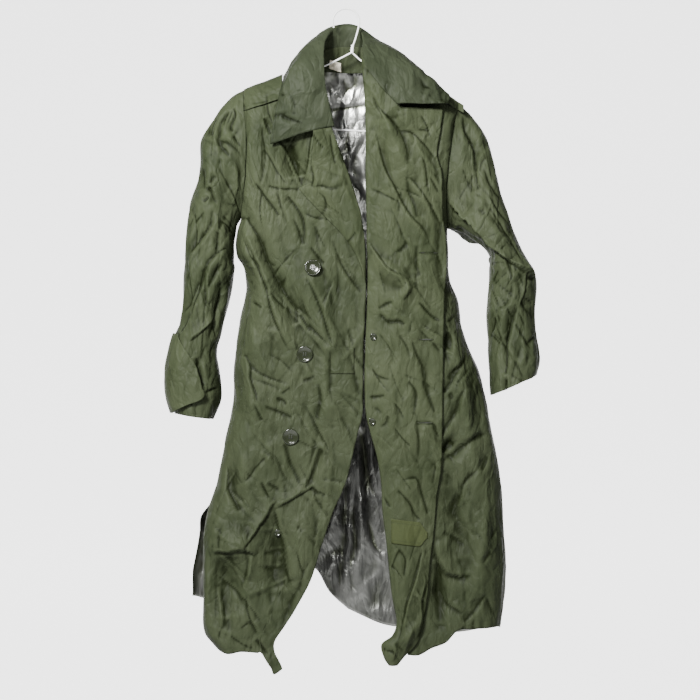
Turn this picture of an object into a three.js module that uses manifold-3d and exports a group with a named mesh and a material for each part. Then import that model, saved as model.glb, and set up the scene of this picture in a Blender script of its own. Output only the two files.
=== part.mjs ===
// A double-breasted raincoat of thin coated cloth, hung open on a wire hanger.
// Millimetres, +Z up, front toward -Y. The origin is the inside top of the hanger's hook.
// "right" and "left" are the wearer's: the right front is at -X, the left front at +X.

import * as THREE from 'three';
import { mergeVertices } from 'three/addons/utils/BufferGeometryUtils.js';
import Module from 'manifold-3d';

const wasm = await Module();
wasm.setup();

// Cloth and clearances
const CLOTH = 1.6;
const LABEL_THICK = 0.8;
const SEAM_GAP = 0.35;
const SIDE_GAP = 0.8;
const SHOULDER_GAP = 1;

// Hanger
const WIRE = 1.6;
const HOOK_RADIUS = 25;
const HOOK_FROM = -15.7;
const HOOK_TO = 205;
const TWIST = { x: 11, z: -80 };
const TWIST_LENGTH = 15;
const UNDER_SHOULDER = 4.9;

// Shoulders: the line where front and back lie over the wire
const SHOULDER_RIGHT = { neckX: -72, neckZ: -114, tipX: -191, tipZ: -161 };
const SHOULDER_LEFT = { neckX: 92, neckZ: -118, tipX: 209, tipZ: -178 };
const SHOULDER_DROP = 62;
const BACK_NECK_Z = -107;

// Body depth either side of the shoulder line
const FRONT_DEPTH = 56;
const BACK_DEPTH = 50;

// Armholes: top and armpit, half depth, bow toward the body
const ARMHOLE_RIGHT = { topX: -191, topZ: -161, pitX: -196, pitZ: -390, depth: 42, bow: 9 };
const ARMHOLE_LEFT = { topX: 209, topZ: -178, pitX: 189, pitZ: -409, depth: 42, bow: -10 };
const OVAL = 2.3;

// Right side of the body below the armpit, from the front
const RIGHT_SIDE = [
  { z: -390, x: -196, y: 0, corner: 36 },
  { z: -431, x: -198, y: 4, corner: 46 },
  { z: -472, x: -194, y: 6, corner: 46 },
  { z: -524, x: -187, y: 6, corner: 46 },
  { z: -588, x: -196, y: 6, corner: 46 },
  { z: -657, x: -209, y: 6, corner: 48 },
  { z: -727, x: -211, y: 8, corner: 52 },
  { z: -801, x: -226, y: 8, corner: 56 },
  { z: -875, x: -240, y: 8, corner: 56 },
  { z: -925, x: -255, y: 2, corner: 48 },
  { z: -968, x: -263, y: -14, corner: 30 },
  { z: -1051, x: -265, y: -24, corner: 26 },
  { z: -1116, x: -265, y: -24, corner: 26 },
  { z: -1160, x: -261, y: -20, corner: 26 },
  { z: -1190, x: -239, y: -20, corner: 26 },
  { z: -1232, x: -229, y: -20, corner: 26 },
];

// Neckline, turn of the lapel and free edge of the right front
const RIGHT_EDGE = [
  { z: -114, x: -73 },
  { z: -130, x: -67 },
  { z: -157, x: -57 },
  { z: -202, x: -38 },
  { z: -228, x: -26 },
  { z: -279, x: -6 },
  { z: -335, x: 13 },
  { z: -381, x: 26 },
  { z: -431, x: 33 },
  { z: -472, x: 35 },
  { z: -542, x: 34.5 },
  { z: -616, x: 31.5 },
  { z: -690, x: 29.5 },
  { z: -755, x: 28 },
  { z: -790, x: 21 },
  { z: -834, x: 11 },
  { z: -882, x: -2 },
  { z: -934, x: -24 },
  { z: -995, x: -45 },
  { z: -1054, x: -63 },
  { z: -1104, x: -89 },
  { z: -1143, x: -113 },
  { z: -1171, x: -130 },
  { z: -1190, x: -128 },
  { z: -1232, x: -120 },
];

// Hem of the right front, by the share of its width from the side, with its twisted corner
const RIGHT_HEM = [
  { u: 0, z: -1186 },
  { u: 0.18, z: -1194 },
  { u: 0.42, z: -1190 },
  { u: 0.7, z: -1192 },
  { u: 0.8, z: -1206 },
  { u: 0.9, z: -1230 },
  { u: 1, z: -1222 },
];

// Left side of the body below the armpit
const LEFT_SIDE = [
  { z: -409, x: 189, y: 0, corner: 36 },
  { z: -440, x: 191, y: 4, corner: 44 },
  { z: -505, x: 192, y: 5, corner: 44 },
  { z: -542, x: 209, y: 5, corner: 46 },
  { z: -588, x: 216, y: 5, corner: 48 },
  { z: -635, x: 231, y: 5, corner: 52 },
  { z: -675, x: 248, y: 5, corner: 54 },
  { z: -727, x: 262, y: 6, corner: 56 },
  { z: -773, x: 270, y: 6, corner: 58 },
  { z: -829, x: 281, y: 6, corner: 58 },
  { z: -884, x: 290, y: 6, corner: 58 },
  { z: -949, x: 294, y: 6, corner: 58 },
  { z: -1023, x: 298, y: 6, corner: 56 },
  { z: -1079, x: 296, y: 6, corner: 52 },
  { z: -1145, x: 290, y: 6, corner: 48 },
  { z: -1199, x: 285, y: 6, corner: 48 },
];

// Fold along which the left front is turned back, from the collar to the hem
const ROLL_LINE = [
  { z: -89, x: 28 },
  { z: -144, x: 32 },
  { z: -191, x: 35 },
  { z: -246, x: 36 },
  { z: -357, x: 37 },
  { z: -468, x: 39.5 },
  { z: -542, x: 39 },
  { z: -616, x: 36 },
  { z: -690, x: 34 },
  { z: -755, x: 37 },
  { z: -792, x: 46 },
  { z: -832, x: 57 },
  { z: -884, x: 65 },
  { z: -931, x: 67 },
  { z: -979, x: 73 },
  { z: -1027, x: 78 },
  { z: -1084, x: 84 },
  { z: -1134, x: 94 },
  { z: -1171, x: 104 },
  { z: -1199, x: 115 },
];

// Hem of the left front, by the share of its width from the side
const LEFT_HEM = [
  { u: 0, z: -1146 },
  { u: 0.16, z: -1147 },
  { u: 0.32, z: -1148 },
  { u: 0.44, z: -1151 },
  { u: 0.56, z: -1172 },
  { u: 0.72, z: -1183 },
  { u: 0.88, z: -1196 },
  { u: 1, z: -1196 },
];

// The turned-back facing of the left front: its fold and its free edge
const FACING = [
  { z: -89, fold: 28, edge: 176 },
  { z: -192, fold: 35, edge: 178 },
  { z: -228, fold: 36, edge: 174 },
  { z: -274, fold: 36, edge: 167 },
  { z: -310, fold: 36, edge: 176 },
  { z: -390, fold: 38, edge: 179 },
  { z: -431, fold: 38, edge: 184 },
  { z: -479, fold: 39.5, edge: 185 },
  { z: -549, fold: 39, edge: 181 },
  { z: -620, fold: 36, edge: 179 },
  { z: -694, fold: 34, edge: 178 },
  { z: -755, fold: 37, edge: 177 },
  { z: -810, fold: 51, edge: 177 },
  { z: -857, fold: 62, edge: 174 },
  { z: -894, fold: 65, edge: 168 },
  { z: -934, fold: 67, edge: 164 },
  { z: -979, fold: 73, edge: 160 },
  { z: -1027, fold: 78, edge: 154 },
  { z: -1084, fold: 84, edge: 150 },
  { z: -1134, fold: 93, edge: 143 },
  { z: -1160, fold: 85, edge: 136 },
  { z: -1175, fold: 66, edge: 129 },
  { z: -1199, fold: 70, edge: 107 },
  { z: -1215, fold: 80, edge: 94 },
];

// Gorge and upper edge of the left lapel, by the share of the facing's width from the fold
const LEFT_GORGE = [
  { u: 0, z: -92 },
  { u: 0.13, z: -121 },
  { u: 0.27, z: -155 },
  { u: 0.45, z: -186 },
  { u: 0.6, z: -189 },
  { u: 1, z: -192 },
];

// The right lapel: height of its turn, and its free edge
const LAPEL = [
  { turn: -231, x: -59, z: -233 },
  { turn: -262, x: -63, z: -292 },
  { turn: -296, x: -79, z: -330 },
  { turn: -320, x: -85, z: -340 },
  { turn: -370, x: -52, z: -376 },
  { turn: -430, x: -15, z: -414 },
  { turn: -470, x: 4, z: -438 },
  { turn: -498, x: 22, z: -470 },
  { turn: -512, x: 31, z: -500 },
];

// Sections round the collar: neck seam, roll, outer crest and free edge, as [x, y, z]
const COLLAR = [
  { seam: [-27, -61, -226], roll: [-24, -66, -224], crest: [-61, -73, -231], edge: [-141, -66, -250] },
  { seam: [-36, -61, -181], roll: [-33, -68, -187], crest: [-74, -77, -191], edge: [-133, -69, -211] },
  { seam: [-52, -57, -150], roll: [-39, -66, -142], crest: [-80, -75, -142], edge: [-126, -62, -178] },
  { seam: [-62, -42, -124], roll: [-40, -56, -105], crest: [-83, -58, -102], edge: [-120, -46, -146] },
  { seam: [-66, -8, -108], roll: [-39, -36, -70], crest: [-80, -20, -74], edge: [-115, 4, -122] },
  { seam: [-58, 14, -105], roll: [-33, -8, -50], crest: [-59, 18, -48], edge: [-98, 42, -132] },
  { seam: [-33, 27, -104], roll: [-22, 16, -37], crest: [-31, 38, -31], edge: [-57, 62, -139] },
  { seam: [11, 40, -104], roll: [2, 26, -32], crest: [2, 46, -29], edge: [7, 68, -142] },
  { seam: [52, 27, -104], roll: [24, 16, -37], crest: [33, 36, -37], edge: [72, 62, -144] },
  { seam: [75, 12, -106], roll: [30, -8, -57], crest: [68, 18, -57], edge: [122, 44, -140] },
  { seam: [80, -10, -108], roll: [31, -40, -80], crest: [92, -22, -76], edge: [159, 2, -142] },
  { seam: [48, -66, -114], roll: [41, -70, -111], crest: [118, -58, -110], edge: [179, -34, -153] },
  { seam: [72, -78, -155], roll: [70, -82, -153], crest: [133, -78, -155], edge: [192, -56, -168] },
  { seam: [99, -80, -186], roll: [99, -84, -184], crest: [142, -84, -184], edge: [187, -72, -181] },
];

// Sleeve sections from the armhole to the cuff: outer and inner line, middle and half depth
const SLEEVE_RIGHT = [
  { outX: -191, outZ: -161, inX: -196, inZ: -390, y: 0, depth: 42, bow: 9 },
  { outX: -215, outZ: -175, inX: -202, inZ: -403, y: 0, depth: 46, bow: 2 },
  { outX: -248, outZ: -216, inX: -205, inZ: -418, y: 0, depth: 50, bow: 0 },
  { outX: -265, outZ: -246, inX: -208, inZ: -437, y: -2, depth: 54, bow: 0 },
  { outX: -270, outZ: -283, inX: -210, inZ: -453, y: -4, depth: 56, bow: 0 },
  { outX: -278, outZ: -326, inX: -208, inZ: -472, y: -6, depth: 58, bow: 0 },
  { outX: -292, outZ: -370, inX: -206, inZ: -487, y: -8, depth: 58, bow: 0 },
  { outX: -299, outZ: -446, inX: -213, inZ: -527, y: -12, depth: 57, bow: 0 },
  { outX: -302, outZ: -533, inX: -222, inZ: -568, y: -16, depth: 55, bow: 0 },
  { outX: -306, outZ: -583, inX: -231, inZ: -603, y: -20, depth: 53, bow: 0 },
  { outX: -318, outZ: -612, inX: -238, inZ: -631, y: -22, depth: 52, bow: 0 },
  { outX: -328, outZ: -653, inX: -236, inZ: -662, y: -24, depth: 54, bow: 0 },
  { outX: -330, outZ: -690, inX: -233, inZ: -696, y: -26, depth: 55, bow: 0 },
  { outX: -326, outZ: -722, inX: -233, inZ: -720, y: -26, depth: 56, bow: 0 },
  { outX: -315, outZ: -751, inX: -239, inZ: -748, y: -26, depth: 56, bow: 0 },
];
const SLEEVE_LEFT = [
  { outX: 209, outZ: -178, inX: 189, inZ: -409, y: 0, depth: 42, bow: -10 },
  { outX: 226, outZ: -192, inX: 200, inZ: -412, y: 0, depth: 46, bow: -2 },
  { outX: 246, outZ: -222, inX: 210, inZ: -415, y: 0, depth: 50, bow: 0 },
  { outX: 268, outZ: -258, inX: 221, inZ: -420, y: -2, depth: 54, bow: 0 },
  { outX: 281, outZ: -310, inX: 235, inZ: -430, y: -6, depth: 56, bow: 0 },
  { outX: 288, outZ: -350, inX: 250, inZ: -440, y: -10, depth: 56, bow: 0 },
  { outX: 304, outZ: -394, inX: 262, inZ: -452, y: -12, depth: 54, bow: 0 },
  { outX: 326, outZ: -446, inX: 267, inZ: -466, y: -14, depth: 52, bow: 0 },
  { outX: 353, outZ: -500, inX: 265, inZ: -494, y: -18, depth: 50, bow: 0 },
  { outX: 350, outZ: -561, inX: 260, inZ: -564, y: -22, depth: 50, bow: 0 },
  { outX: 354, outZ: -612, inX: 262, inZ: -620, y: -24, depth: 52, bow: 0 },
  { outX: 360, outZ: -652, inX: 264, inZ: -672, y: -26, depth: 54, bow: 0 },
  { outX: 354, outZ: -680, inX: 267, inZ: -718, y: -26, depth: 54, bow: 0 },
];

// Back: right edge below the armpit, where it swings out past the front, and the hem
const BACK_RIGHT_SIDE = [
  { z: -390, x: -196, y: 0, corner: 36 },
  { z: -431, x: -198, y: 4, corner: 46 },
  { z: -472, x: -194, y: 6, corner: 46 },
  { z: -524, x: -187, y: 6, corner: 46 },
  { z: -588, x: -196, y: 6, corner: 46 },
  { z: -657, x: -209, y: 6, corner: 48 },
  { z: -727, x: -211, y: 8, corner: 52 },
  { z: -801, x: -226, y: 8, corner: 56 },
  { z: -875, x: -240, y: 8, corner: 56 },
  { z: -912, x: -251, y: 10, corner: 52 },
  { z: -949, x: -272, y: 20, corner: 30 },
  { z: -995, x: -278, y: 34, corner: 20 },
  { z: -1067, x: -289, y: 36, corner: 20 },
  { z: -1120, x: -290, y: 36, corner: 20 },
];
const CENTRE_SEAM_X = 4;
const BACK_RIGHT_HEM = [
  { u: 0, z: -1096 },
  { u: 0.25, z: -1112 },
  { u: 0.5, z: -1084 },
  { u: 0.78, z: -1046 },
  { u: 0.88, z: -1090 },
  { u: 1, z: -1122 },
];
const BACK_LEFT_HEM = [
  { u: 0, z: -1152 },
  { u: 0.3, z: -1166 },
  { u: 0.6, z: -1158 },
  { u: 0.78, z: -1150 },
  { u: 1, z: -1122 },
];

// Main folds: a soft ridge from one end to the other, half width, height toward the front
const RIGHT_FOLDS = [
  { x0: -196, z0: -380, x1: -139, z1: -480, half: 15, rise: -9 },
  { x0: -139, z0: -480, x1: -88, z1: -590, half: 15, rise: -9 },
  { x0: -200, z0: -405, x1: -135, z1: -560, half: 18, rise: 9 },
  { x0: -135, z0: -560, x1: -100, z1: -640, half: 16, rise: 7 },
  { x0: -70, z0: -490, x1: -28, z1: -620, half: 18, rise: 9 },
  { x0: -28, z0: -620, x1: -32, z1: -780, half: 20, rise: 8 },
  { x0: -198, z0: -645, x1: -160, z1: -770, half: 18, rise: 8 },
  { x0: -220, z0: -830, x1: -196, z1: -920, half: 14, rise: -12 },
  { x0: -244, z0: -1000, x1: -170, z1: -1004, half: 26, rise: 14 },
  { x0: -130, z0: -960, x1: -126, z1: -1080, half: 24, rise: -22 },
  { x0: -88, z0: -960, x1: -80, z1: -1060, half: 20, rise: 10 },
  { x0: -220, z0: -1060, x1: -190, z1: -1170, half: 20, rise: 8 },
];
const LEFT_FOLDS = [
  { x0: 200, z0: -560, x1: 236, z1: -800, half: 20, rise: 10 },
  { x0: 222, z0: -620, x1: 262, z1: -860, half: 14, rise: -8 },
  { x0: 190, z0: -880, x1: 214, z1: -1020, half: 20, rise: -10 },
  { x0: 270, z0: -900, x1: 232, z1: -1110, half: 18, rise: 9 },
  { x0: 176, z0: -1000, x1: 190, z1: -1140, half: 18, rise: -8 },
];
const FACING_FOLDS = [
  { x0: 45, z0: -150, x1: 110, z1: -300, half: 12, rise: 7 },
  { x0: 50, z0: -230, x1: 105, z1: -380, half: 12, rise: -6 },
  { x0: 133, z0: -250, x1: 158, z1: -370, half: 12, rise: 6 },
  { x0: 55, z0: -468, x1: 112, z1: -512, half: 14, rise: 9 },
  { x0: 112, z0: -512, x1: 90, z1: -560, half: 14, rise: 7 },
  { x0: 150, z0: -1120, x1: 95, z1: -1180, half: 12, rise: 8 },
];
const BACK_FOLDS = [
  { x0: -130, z0: -420, x1: -160, z1: -1080, half: 26, rise: -12 },
  { x0: -60, z0: -260, x1: -84, z1: -1040, half: 24, rise: 10 },
  { x0: 80, z0: -280, x1: 120, z1: -1120, half: 26, rise: 11 },
  { x0: 140, z0: -480, x1: 190, z1: -1100, half: 24, rise: -12 },
  { x0: -170, z0: -200, x1: -90, z1: -420, half: 18, rise: 8 },
  { x0: 176, z0: -210, x1: 100, z1: -430, half: 18, rise: 8 },
];

// Small pieces on the fronts
const BUTTON = { radius: 15, thick: 3, rim: 2.4, hole: 1.7, holeOffset: 3.2, holeSides: 5, sides: 18 };
const SMALL_BUTTON = { radius: 6.2, thick: 2.4, sides: 14 };
const BUTTON_LIFT = 0.3;
const EDGE_PATCH = { x0: -28, x1: 15, z0: -678, z1: -630, lift: 0.7 };
const FACING_TAB = { x0: 83, x1: 150, tip: 16, z0: -989, z1: -944, slant: -8, lift: 0.7 };
const LOOP_RIGHT = { x0: -178, x1: -122, frontIn: -172, frontOut: -194 };
const LOOP_LEFT = { x0: 199, x1: 176, frontIn: -176, frontOut: -196 };
const LOOP_LIFT = 1.7;
// Cuff flap turned open on the right sleeve: sleeve section it lies on, and how far round it reaches
const CUFF_FLAP = [
  { section: 9.7, reach: 40 },
  { section: 10.5, reach: 80 },
  { section: 11, reach: 94 },
  { section: 11.6, reach: 102 },
  { section: 12.3, reach: 106 },
  { section: 12.9, reach: 110 },
  { section: 13.4, reach: 78 },
  { section: 13.95, reach: 25 },
];
const CUFF_FLAP_FROM = -25;
const CUFF_FLAP_LIFT = 3.4;
const CUFF_FLAP_FLARE = 4;

// Colours
const OLIVE = 0x566046;
const OLIVE_LIGHT = 0x66714f;
const BUTTON_COLOUR = 0x3c4232;
const WIRE_COLOUR = 0xf1f1ee;
const LABEL_COLOUR = 0xe6e0cc;

// Curves through the rows of a table
const clamp = (t, low, high) => Math.min(Math.max(t, low), high);
const mix = (a, b, t) => a + (b - a) * t;
const smooth = (t) => {
  const s = clamp(t, 0, 1);
  return s * s * (3 - 2 * s);
};

function hermite(a, b, slopeA, slopeB, step, s) {
  const s2 = s * s;
  const s3 = s2 * s;
  const fromEnds = a * (2 * s3 - 3 * s2 + 1) + b * (3 * s2 - 2 * s3);
  return fromEnds + step * (slopeA * (s3 - 2 * s2 + s) + slopeB * (s3 - s2));
}

// A smooth value of one column, read at t along the column named by
function through(rows, by, column) {
  const last = rows.length - 1;
  const sign = Math.sign(rows[last][by] - rows[0][by]);
  const slope = (p, q) => (rows[q][column] - rows[p][column]) / (rows[q][by] - rows[p][by]);
  return (t) => {
    let i = 0;
    while (i < last - 1 && sign * (t - rows[i + 1][by]) > 0) i += 1;
    const step = rows[i + 1][by] - rows[i][by];
    const s = clamp((t - rows[i][by]) / step, 0, 1);
    const slopeA = slope(Math.max(i - 1, 0), i + 1);
    const slopeB = slope(i, Math.min(i + 2, last));
    return hermite(rows[i][column], rows[i + 1][column], slopeA, slopeB, step, s);
  };
}

// The same by row number, for numbers or for [x, y, z] columns
function byRow(rows, column, part) {
  const plain = rows.map((row, k) => ({ k, v: part === undefined ? row[column] : row[column][part] }));
  return through(plain, 'k', 'v');
}

// A closed wall: the outer points of a grid, and the same points moved in by the cloth's thickness.
// turn is 1 where going across and then down turns toward the outer side, and -1 where away from it.
function wall(across, down, turn, at, thick = CLOTH) {
  const points = [];
  for (let j = 0; j <= down; j += 1) {
    for (let i = 0; i <= across; i += 1) points.push(new THREE.Vector3(...at(i / across, j / down)));
  }
  const index = (i, j) => j * (across + 1) + i;
  const outer = (i, j) => points[index(clamp(i, 0, across), clamp(j, 0, down))];
  const inner = [];
  for (let j = 0; j <= down; j += 1) {
    for (let i = 0; i <= across; i += 1) {
      const alongU = outer(i + 1, j).clone().sub(outer(i - 1, j));
      const alongV = outer(i, j + 1).clone().sub(outer(i, j - 1));
      const normal = alongU.cross(alongV).normalize();
      inner.push(outer(i, j).clone().addScaledVector(normal, -thick * turn));
    }
  }
  const count = points.length;
  const corners = [];
  const quad = (a, b, c, d) => corners.push(a, b, c, a, c, d);
  for (let j = 0; j < down; j += 1) {
    for (let i = 0; i < across; i += 1) {
      const [a, b, c, d] = [index(i, j), index(i + 1, j), index(i + 1, j + 1), index(i, j + 1)];
      quad(a, b, c, d);
      quad(count + d, count + c, count + b, count + a);
    }
  }
  for (let i = 0; i < across; i += 1) {
    quad(index(i + 1, 0), index(i, 0), count + index(i, 0), count + index(i + 1, 0));
    quad(index(i, down), index(i + 1, down), count + index(i + 1, down), count + index(i, down));
  }
  for (let j = 0; j < down; j += 1) {
    quad(index(0, j), index(0, j + 1), count + index(0, j + 1), count + index(0, j));
    quad(index(across, j + 1), index(across, j), count + index(across, j), count + index(across, j + 1));
  }
  return solidFrom([...points, ...inner], corners);
}

// A geometry whose faces point out, whichever way its corners were listed
function solidFrom(points, corners) {
  let volume = 0;
  for (let k = 0; k < corners.length; k += 3) {
    const [a, b, c] = [points[corners[k]], points[corners[k + 1]], points[corners[k + 2]]];
    volume += a.dot(b.clone().cross(c));
  }
  if (volume < 0) {
    for (let k = 0; k < corners.length; k += 3) {
      [corners[k + 1], corners[k + 2]] = [corners[k + 2], corners[k + 1]];
    }
  }
  const geometry = new THREE.BufferGeometry();
  geometry.setAttribute('position', new THREE.Float32BufferAttribute(points.flatMap((p) => [p.x, p.y, p.z]), 3));
  geometry.setIndex(corners);
  return geometry;
}

// Joins closed meshes into one solid
function toManifold(geometry) {
  const bare = geometry.clone();
  bare.deleteAttribute('normal');
  bare.deleteAttribute('uv');
  const merged = mergeVertices(bare, 1e-4);
  return new wasm.Manifold(new wasm.Mesh({
    numProp: 3,
    vertProperties: new Float32Array(merged.attributes.position.array),
    triVerts: new Uint32Array(merged.index.array),
  }));
}

function fromManifold(solid) {
  const mesh = solid.getMesh();
  const geometry = new THREE.BufferGeometry();
  geometry.setAttribute('position', new THREE.BufferAttribute(new Float32Array(mesh.vertProperties), 3));
  geometry.setIndex(new THREE.BufferAttribute(new Uint32Array(mesh.triVerts), 1));
  return geometry;
}

// Heights of folds at a place on a panel
function foldRise(folds, x, z) {
  let rise = 0;
  for (const fold of folds) {
    const dx = fold.x1 - fold.x0;
    const dz = fold.z1 - fold.z0;
    const t = ((x - fold.x0) * dx + (z - fold.z0) * dz) / (dx * dx + dz * dz);
    const s = clamp(t, 0, 1);
    const away = Math.hypot(x - fold.x0 - s * dx, z - fold.z0 - s * dz) / fold.half;
    rise += fold.rise * Math.exp(-away * away) * Math.sqrt(Math.sin(Math.PI * clamp(t, 0.04, 0.96)));
  }
  return rise;
}

// Shoulder line of both sides, carried on over the neck, and the way cloth leaves it
const shoulderSlope = (s) => (s.tipZ - s.neckZ) / (s.tipX - s.neckX);
function shoulderZ(x) {
  const right = SHOULDER_RIGHT.neckZ + (x - SHOULDER_RIGHT.neckX) * shoulderSlope(SHOULDER_RIGHT);
  const left = SHOULDER_LEFT.neckZ + (x - SHOULDER_LEFT.neckX) * shoulderSlope(SHOULDER_LEFT);
  return Math.min(right, left);
}
function shoulderSpread(x, z) {
  const drop = clamp((shoulderZ(x) - z) / SHOULDER_DROP, 0, 1);
  return Math.sqrt(1 - (1 - drop) ** 2);
}

// Edge of an armhole at height z: where the panel ends and how far it stands from the middle
function armholeAt(hole, z) {
  const e = clamp((2 * z - hole.topZ - hole.pitZ) / (hole.topZ - hole.pitZ), -1, 1);
  return {
    x: mix(hole.pitX, hole.topX, (1 + e) / 2) + hole.bow * (1 - e * e),
    out: hole.depth * (1 - Math.abs(e) ** OVAL) ** (1 / OVAL),
  };
}

// Side edge of a panel: armhole above the armpit, side seam below it
function sideOf(rows, hole, towardFront) {
  const x = through(rows, 'z', 'x');
  const y = through(rows, 'z', 'y');
  const corner = through(rows, 'z', 'corner');
  return (z) => {
    if (z > hole.pitZ) {
      const edge = armholeAt(hole, z);
      const near = smooth((z - hole.pitZ) / 60);
      return { x: edge.x, y: towardFront * edge.out, corner: mix(corner(z), 20, near) };
    }
    return { x: x(z), y: y(z), corner: corner(z) };
  };
}

// Depth of a panel at (x, z): round the side, across the flat, with the folds
function panelDepth(side, flatY, folds, x, z) {
  const edge = side(z);
  const inFrom = clamp(Math.abs(x - edge.x) / edge.corner, 0, 1);
  const round = Math.sqrt(1 - (1 - inFrom) ** 2);
  const spread = shoulderSpread(x, z);
  const flat = flatY * spread;
  const front = Math.sign(flatY);
  const fold = foldRise(folds, x, z) * smooth(inFrom) * smooth(spread);
  return mix(edge.y, flat, round) + front * fold;
}

const rightSide = sideOf(RIGHT_SIDE, ARMHOLE_RIGHT, -1);
const leftSide = sideOf(LEFT_SIDE, ARMHOLE_LEFT, -1);
const backRightSide = sideOf(BACK_RIGHT_SIDE, ARMHOLE_RIGHT, 1);
const backLeftSide = sideOf(LEFT_SIDE, ARMHOLE_LEFT, 1);

const rightFrontY = (x, z) => panelDepth(rightSide, -FRONT_DEPTH, RIGHT_FOLDS, x, z);
const leftFrontY = (x, z) => panelDepth(leftSide, -FRONT_DEPTH, LEFT_FOLDS, x, z);
const backRightY = (x, z) => panelDepth(backRightSide, BACK_DEPTH, BACK_FOLDS, x, z);
const backLeftY = (x, z) => panelDepth(backLeftSide, BACK_DEPTH, BACK_FOLDS, x, z);

// A panel between its side and its inner edge, from the shoulder or neckline to the hem.
// Points crowd toward the side, where the cloth turns, and toward the shoulder.
const CROWD_SIDE = 1.5;
const CROWD_TOP = 1.4;
function panelPoint({ side, edgeX, topZ, hemZ, depthAt, seam, u, v }) {
  const z = mix(topZ(u), hemZ(u), v ** CROWD_TOP);
  const edge = side(z);
  const x = mix(edge.x, edgeX(z), u ** CROWD_SIDE);
  const atSide = 1 - smooth(u * 12);
  if (v === 0 && shoulderZ(x) - z < 1) return [x, Math.sign(seam) * SHOULDER_GAP, z];
  return [x, depthAt(x, z) + seam * atSide, z];
}

const rightEdgeX = through(RIGHT_EDGE, 'z', 'x');
const rightHemZ = through(RIGHT_HEM, 'u', 'z');
function rightFrontPoint(u, v) {
  const share = u ** CROWD_SIDE;
  return panelPoint({
    side: rightSide,
    edgeX: rightEdgeX,
    topZ: () => mix(SHOULDER_RIGHT.tipZ, SHOULDER_RIGHT.neckZ, share) - SEAM_GAP,
    hemZ: () => rightHemZ(share),
    depthAt: rightFrontY,
    seam: -SIDE_GAP,
    u,
    v,
  });
}

const rollX = through(ROLL_LINE, 'z', 'x');
const leftHemZ = through(LEFT_HEM, 'u', 'z');
function leftFrontPoint(u, v) {
  const share = u ** CROWD_SIDE;
  const neckShare = (SHOULDER_LEFT.tipX - SHOULDER_LEFT.neckX) / (SHOULDER_LEFT.tipX - ROLL_LINE[0].x);
  const shoulder = mix(SHOULDER_LEFT.tipZ, SHOULDER_LEFT.neckZ, Math.min(share / neckShare, 1));
  return panelPoint({
    side: leftSide,
    edgeX: rollX,
    topZ: () => shoulder - SEAM_GAP,
    hemZ: () => leftHemZ(share),
    depthAt: leftFrontY,
    seam: -SIDE_GAP,
    u,
    v,
  });
}

// The turned-back facing, lying in front of the left front
const facingFold = through(FACING, 'z', 'fold');
const facingEdge = through(FACING, 'z', 'edge');
const leftGorge = through(LEFT_GORGE, 'u', 'z');
const FACING_BOTTOM = -1214;
const FACING_NEAR = 2.8;
const FACING_FLAT_Y = -51;
const FACING_BELLY = 10;
const FACING_INSIDE = 2;
function facingY(meshes, x, z) {
  const share = clamp((x - facingFold(z)) / (facingEdge(z) - facingFold(z)), 0, 1);
  const belly = FACING_NEAR + FACING_BELLY * Math.sin(Math.PI * share ** 0.7) + 3 * share;
  const fold = foldRise(FACING_FOLDS, x, z) * smooth(share * 8) * smooth((1 - share) * 8);
  const inside = Math.max(x, rollX(z) + FACING_INSIDE);
  const below = clothAt(meshes, inside, z) ?? leftFrontY(inside, z);
  return Math.min(below, FACING_FLAT_Y) - belly - fold;
}
function facingPoint(meshes, u, v) {
  const z = mix(leftGorge(u), FACING_BOTTOM, v ** 1.1);
  const x = mix(facingFold(z), facingEdge(z), u);
  return [x, facingY(meshes, x, z), z];
}

// The right lapel, turned out over the right front
const lapelTurn = byRow(LAPEL, 'turn');
const lapelX = byRow(LAPEL, 'x');
const lapelZ = byRow(LAPEL, 'z');
const LAPEL_NEAR = 2.2;
const LAPEL_BELLY = 9;
function lapelPoint(meshes, u, v) {
  const k = v * (LAPEL.length - 1);
  const turnZ = lapelTurn(k);
  const x = mix(rightEdgeX(turnZ), lapelX(k), u);
  const z = mix(turnZ, lapelZ(k), u);
  const belly = LAPEL_NEAR + LAPEL_BELLY * Math.sin(Math.PI * u ** 0.8) * (1 - 0.6 * v) + 2 * u;
  return [x, (clothAt(meshes, x - 2, z) ?? rightFrontY(x - 2, z)) - belly, z];
}

// Halves of the back, which meet at the centre seam
function backPoint(side, shoulder, hem, seamSign, depthAt, u, v) {
  const share = u ** CROWD_SIDE;
  const centre = CENTRE_SEAM_X + seamSign * SEAM_GAP;
  const shoulderShare = (shoulder.tipX - shoulder.neckX) / (shoulder.tipX - CENTRE_SEAM_X);
  const neckRise = mix(shoulder.neckZ, BACK_NECK_Z, smooth((share - shoulderShare) / (1 - shoulderShare)));
  const top = share < shoulderShare ? mix(shoulder.tipZ, shoulder.neckZ, share / shoulderShare) : neckRise;
  return panelPoint({
    side,
    edgeX: () => centre,
    topZ: () => top - SEAM_GAP,
    hemZ: () => hem(share),
    depthAt,
    seam: SIDE_GAP,
    u,
    v,
  });
}
const backRightHem = through(BACK_RIGHT_HEM, 'u', 'z');
const backLeftHem = through(BACK_LEFT_HEM, 'u', 'z');
const backRightPoint = (u, v) => backPoint(backRightSide, SHOULDER_RIGHT, backRightHem, -1, backRightY, u, v);
const backLeftPoint = (u, v) => backPoint(backLeftSide, SHOULDER_LEFT, backLeftHem, 1, backLeftY, u, v);

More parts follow.
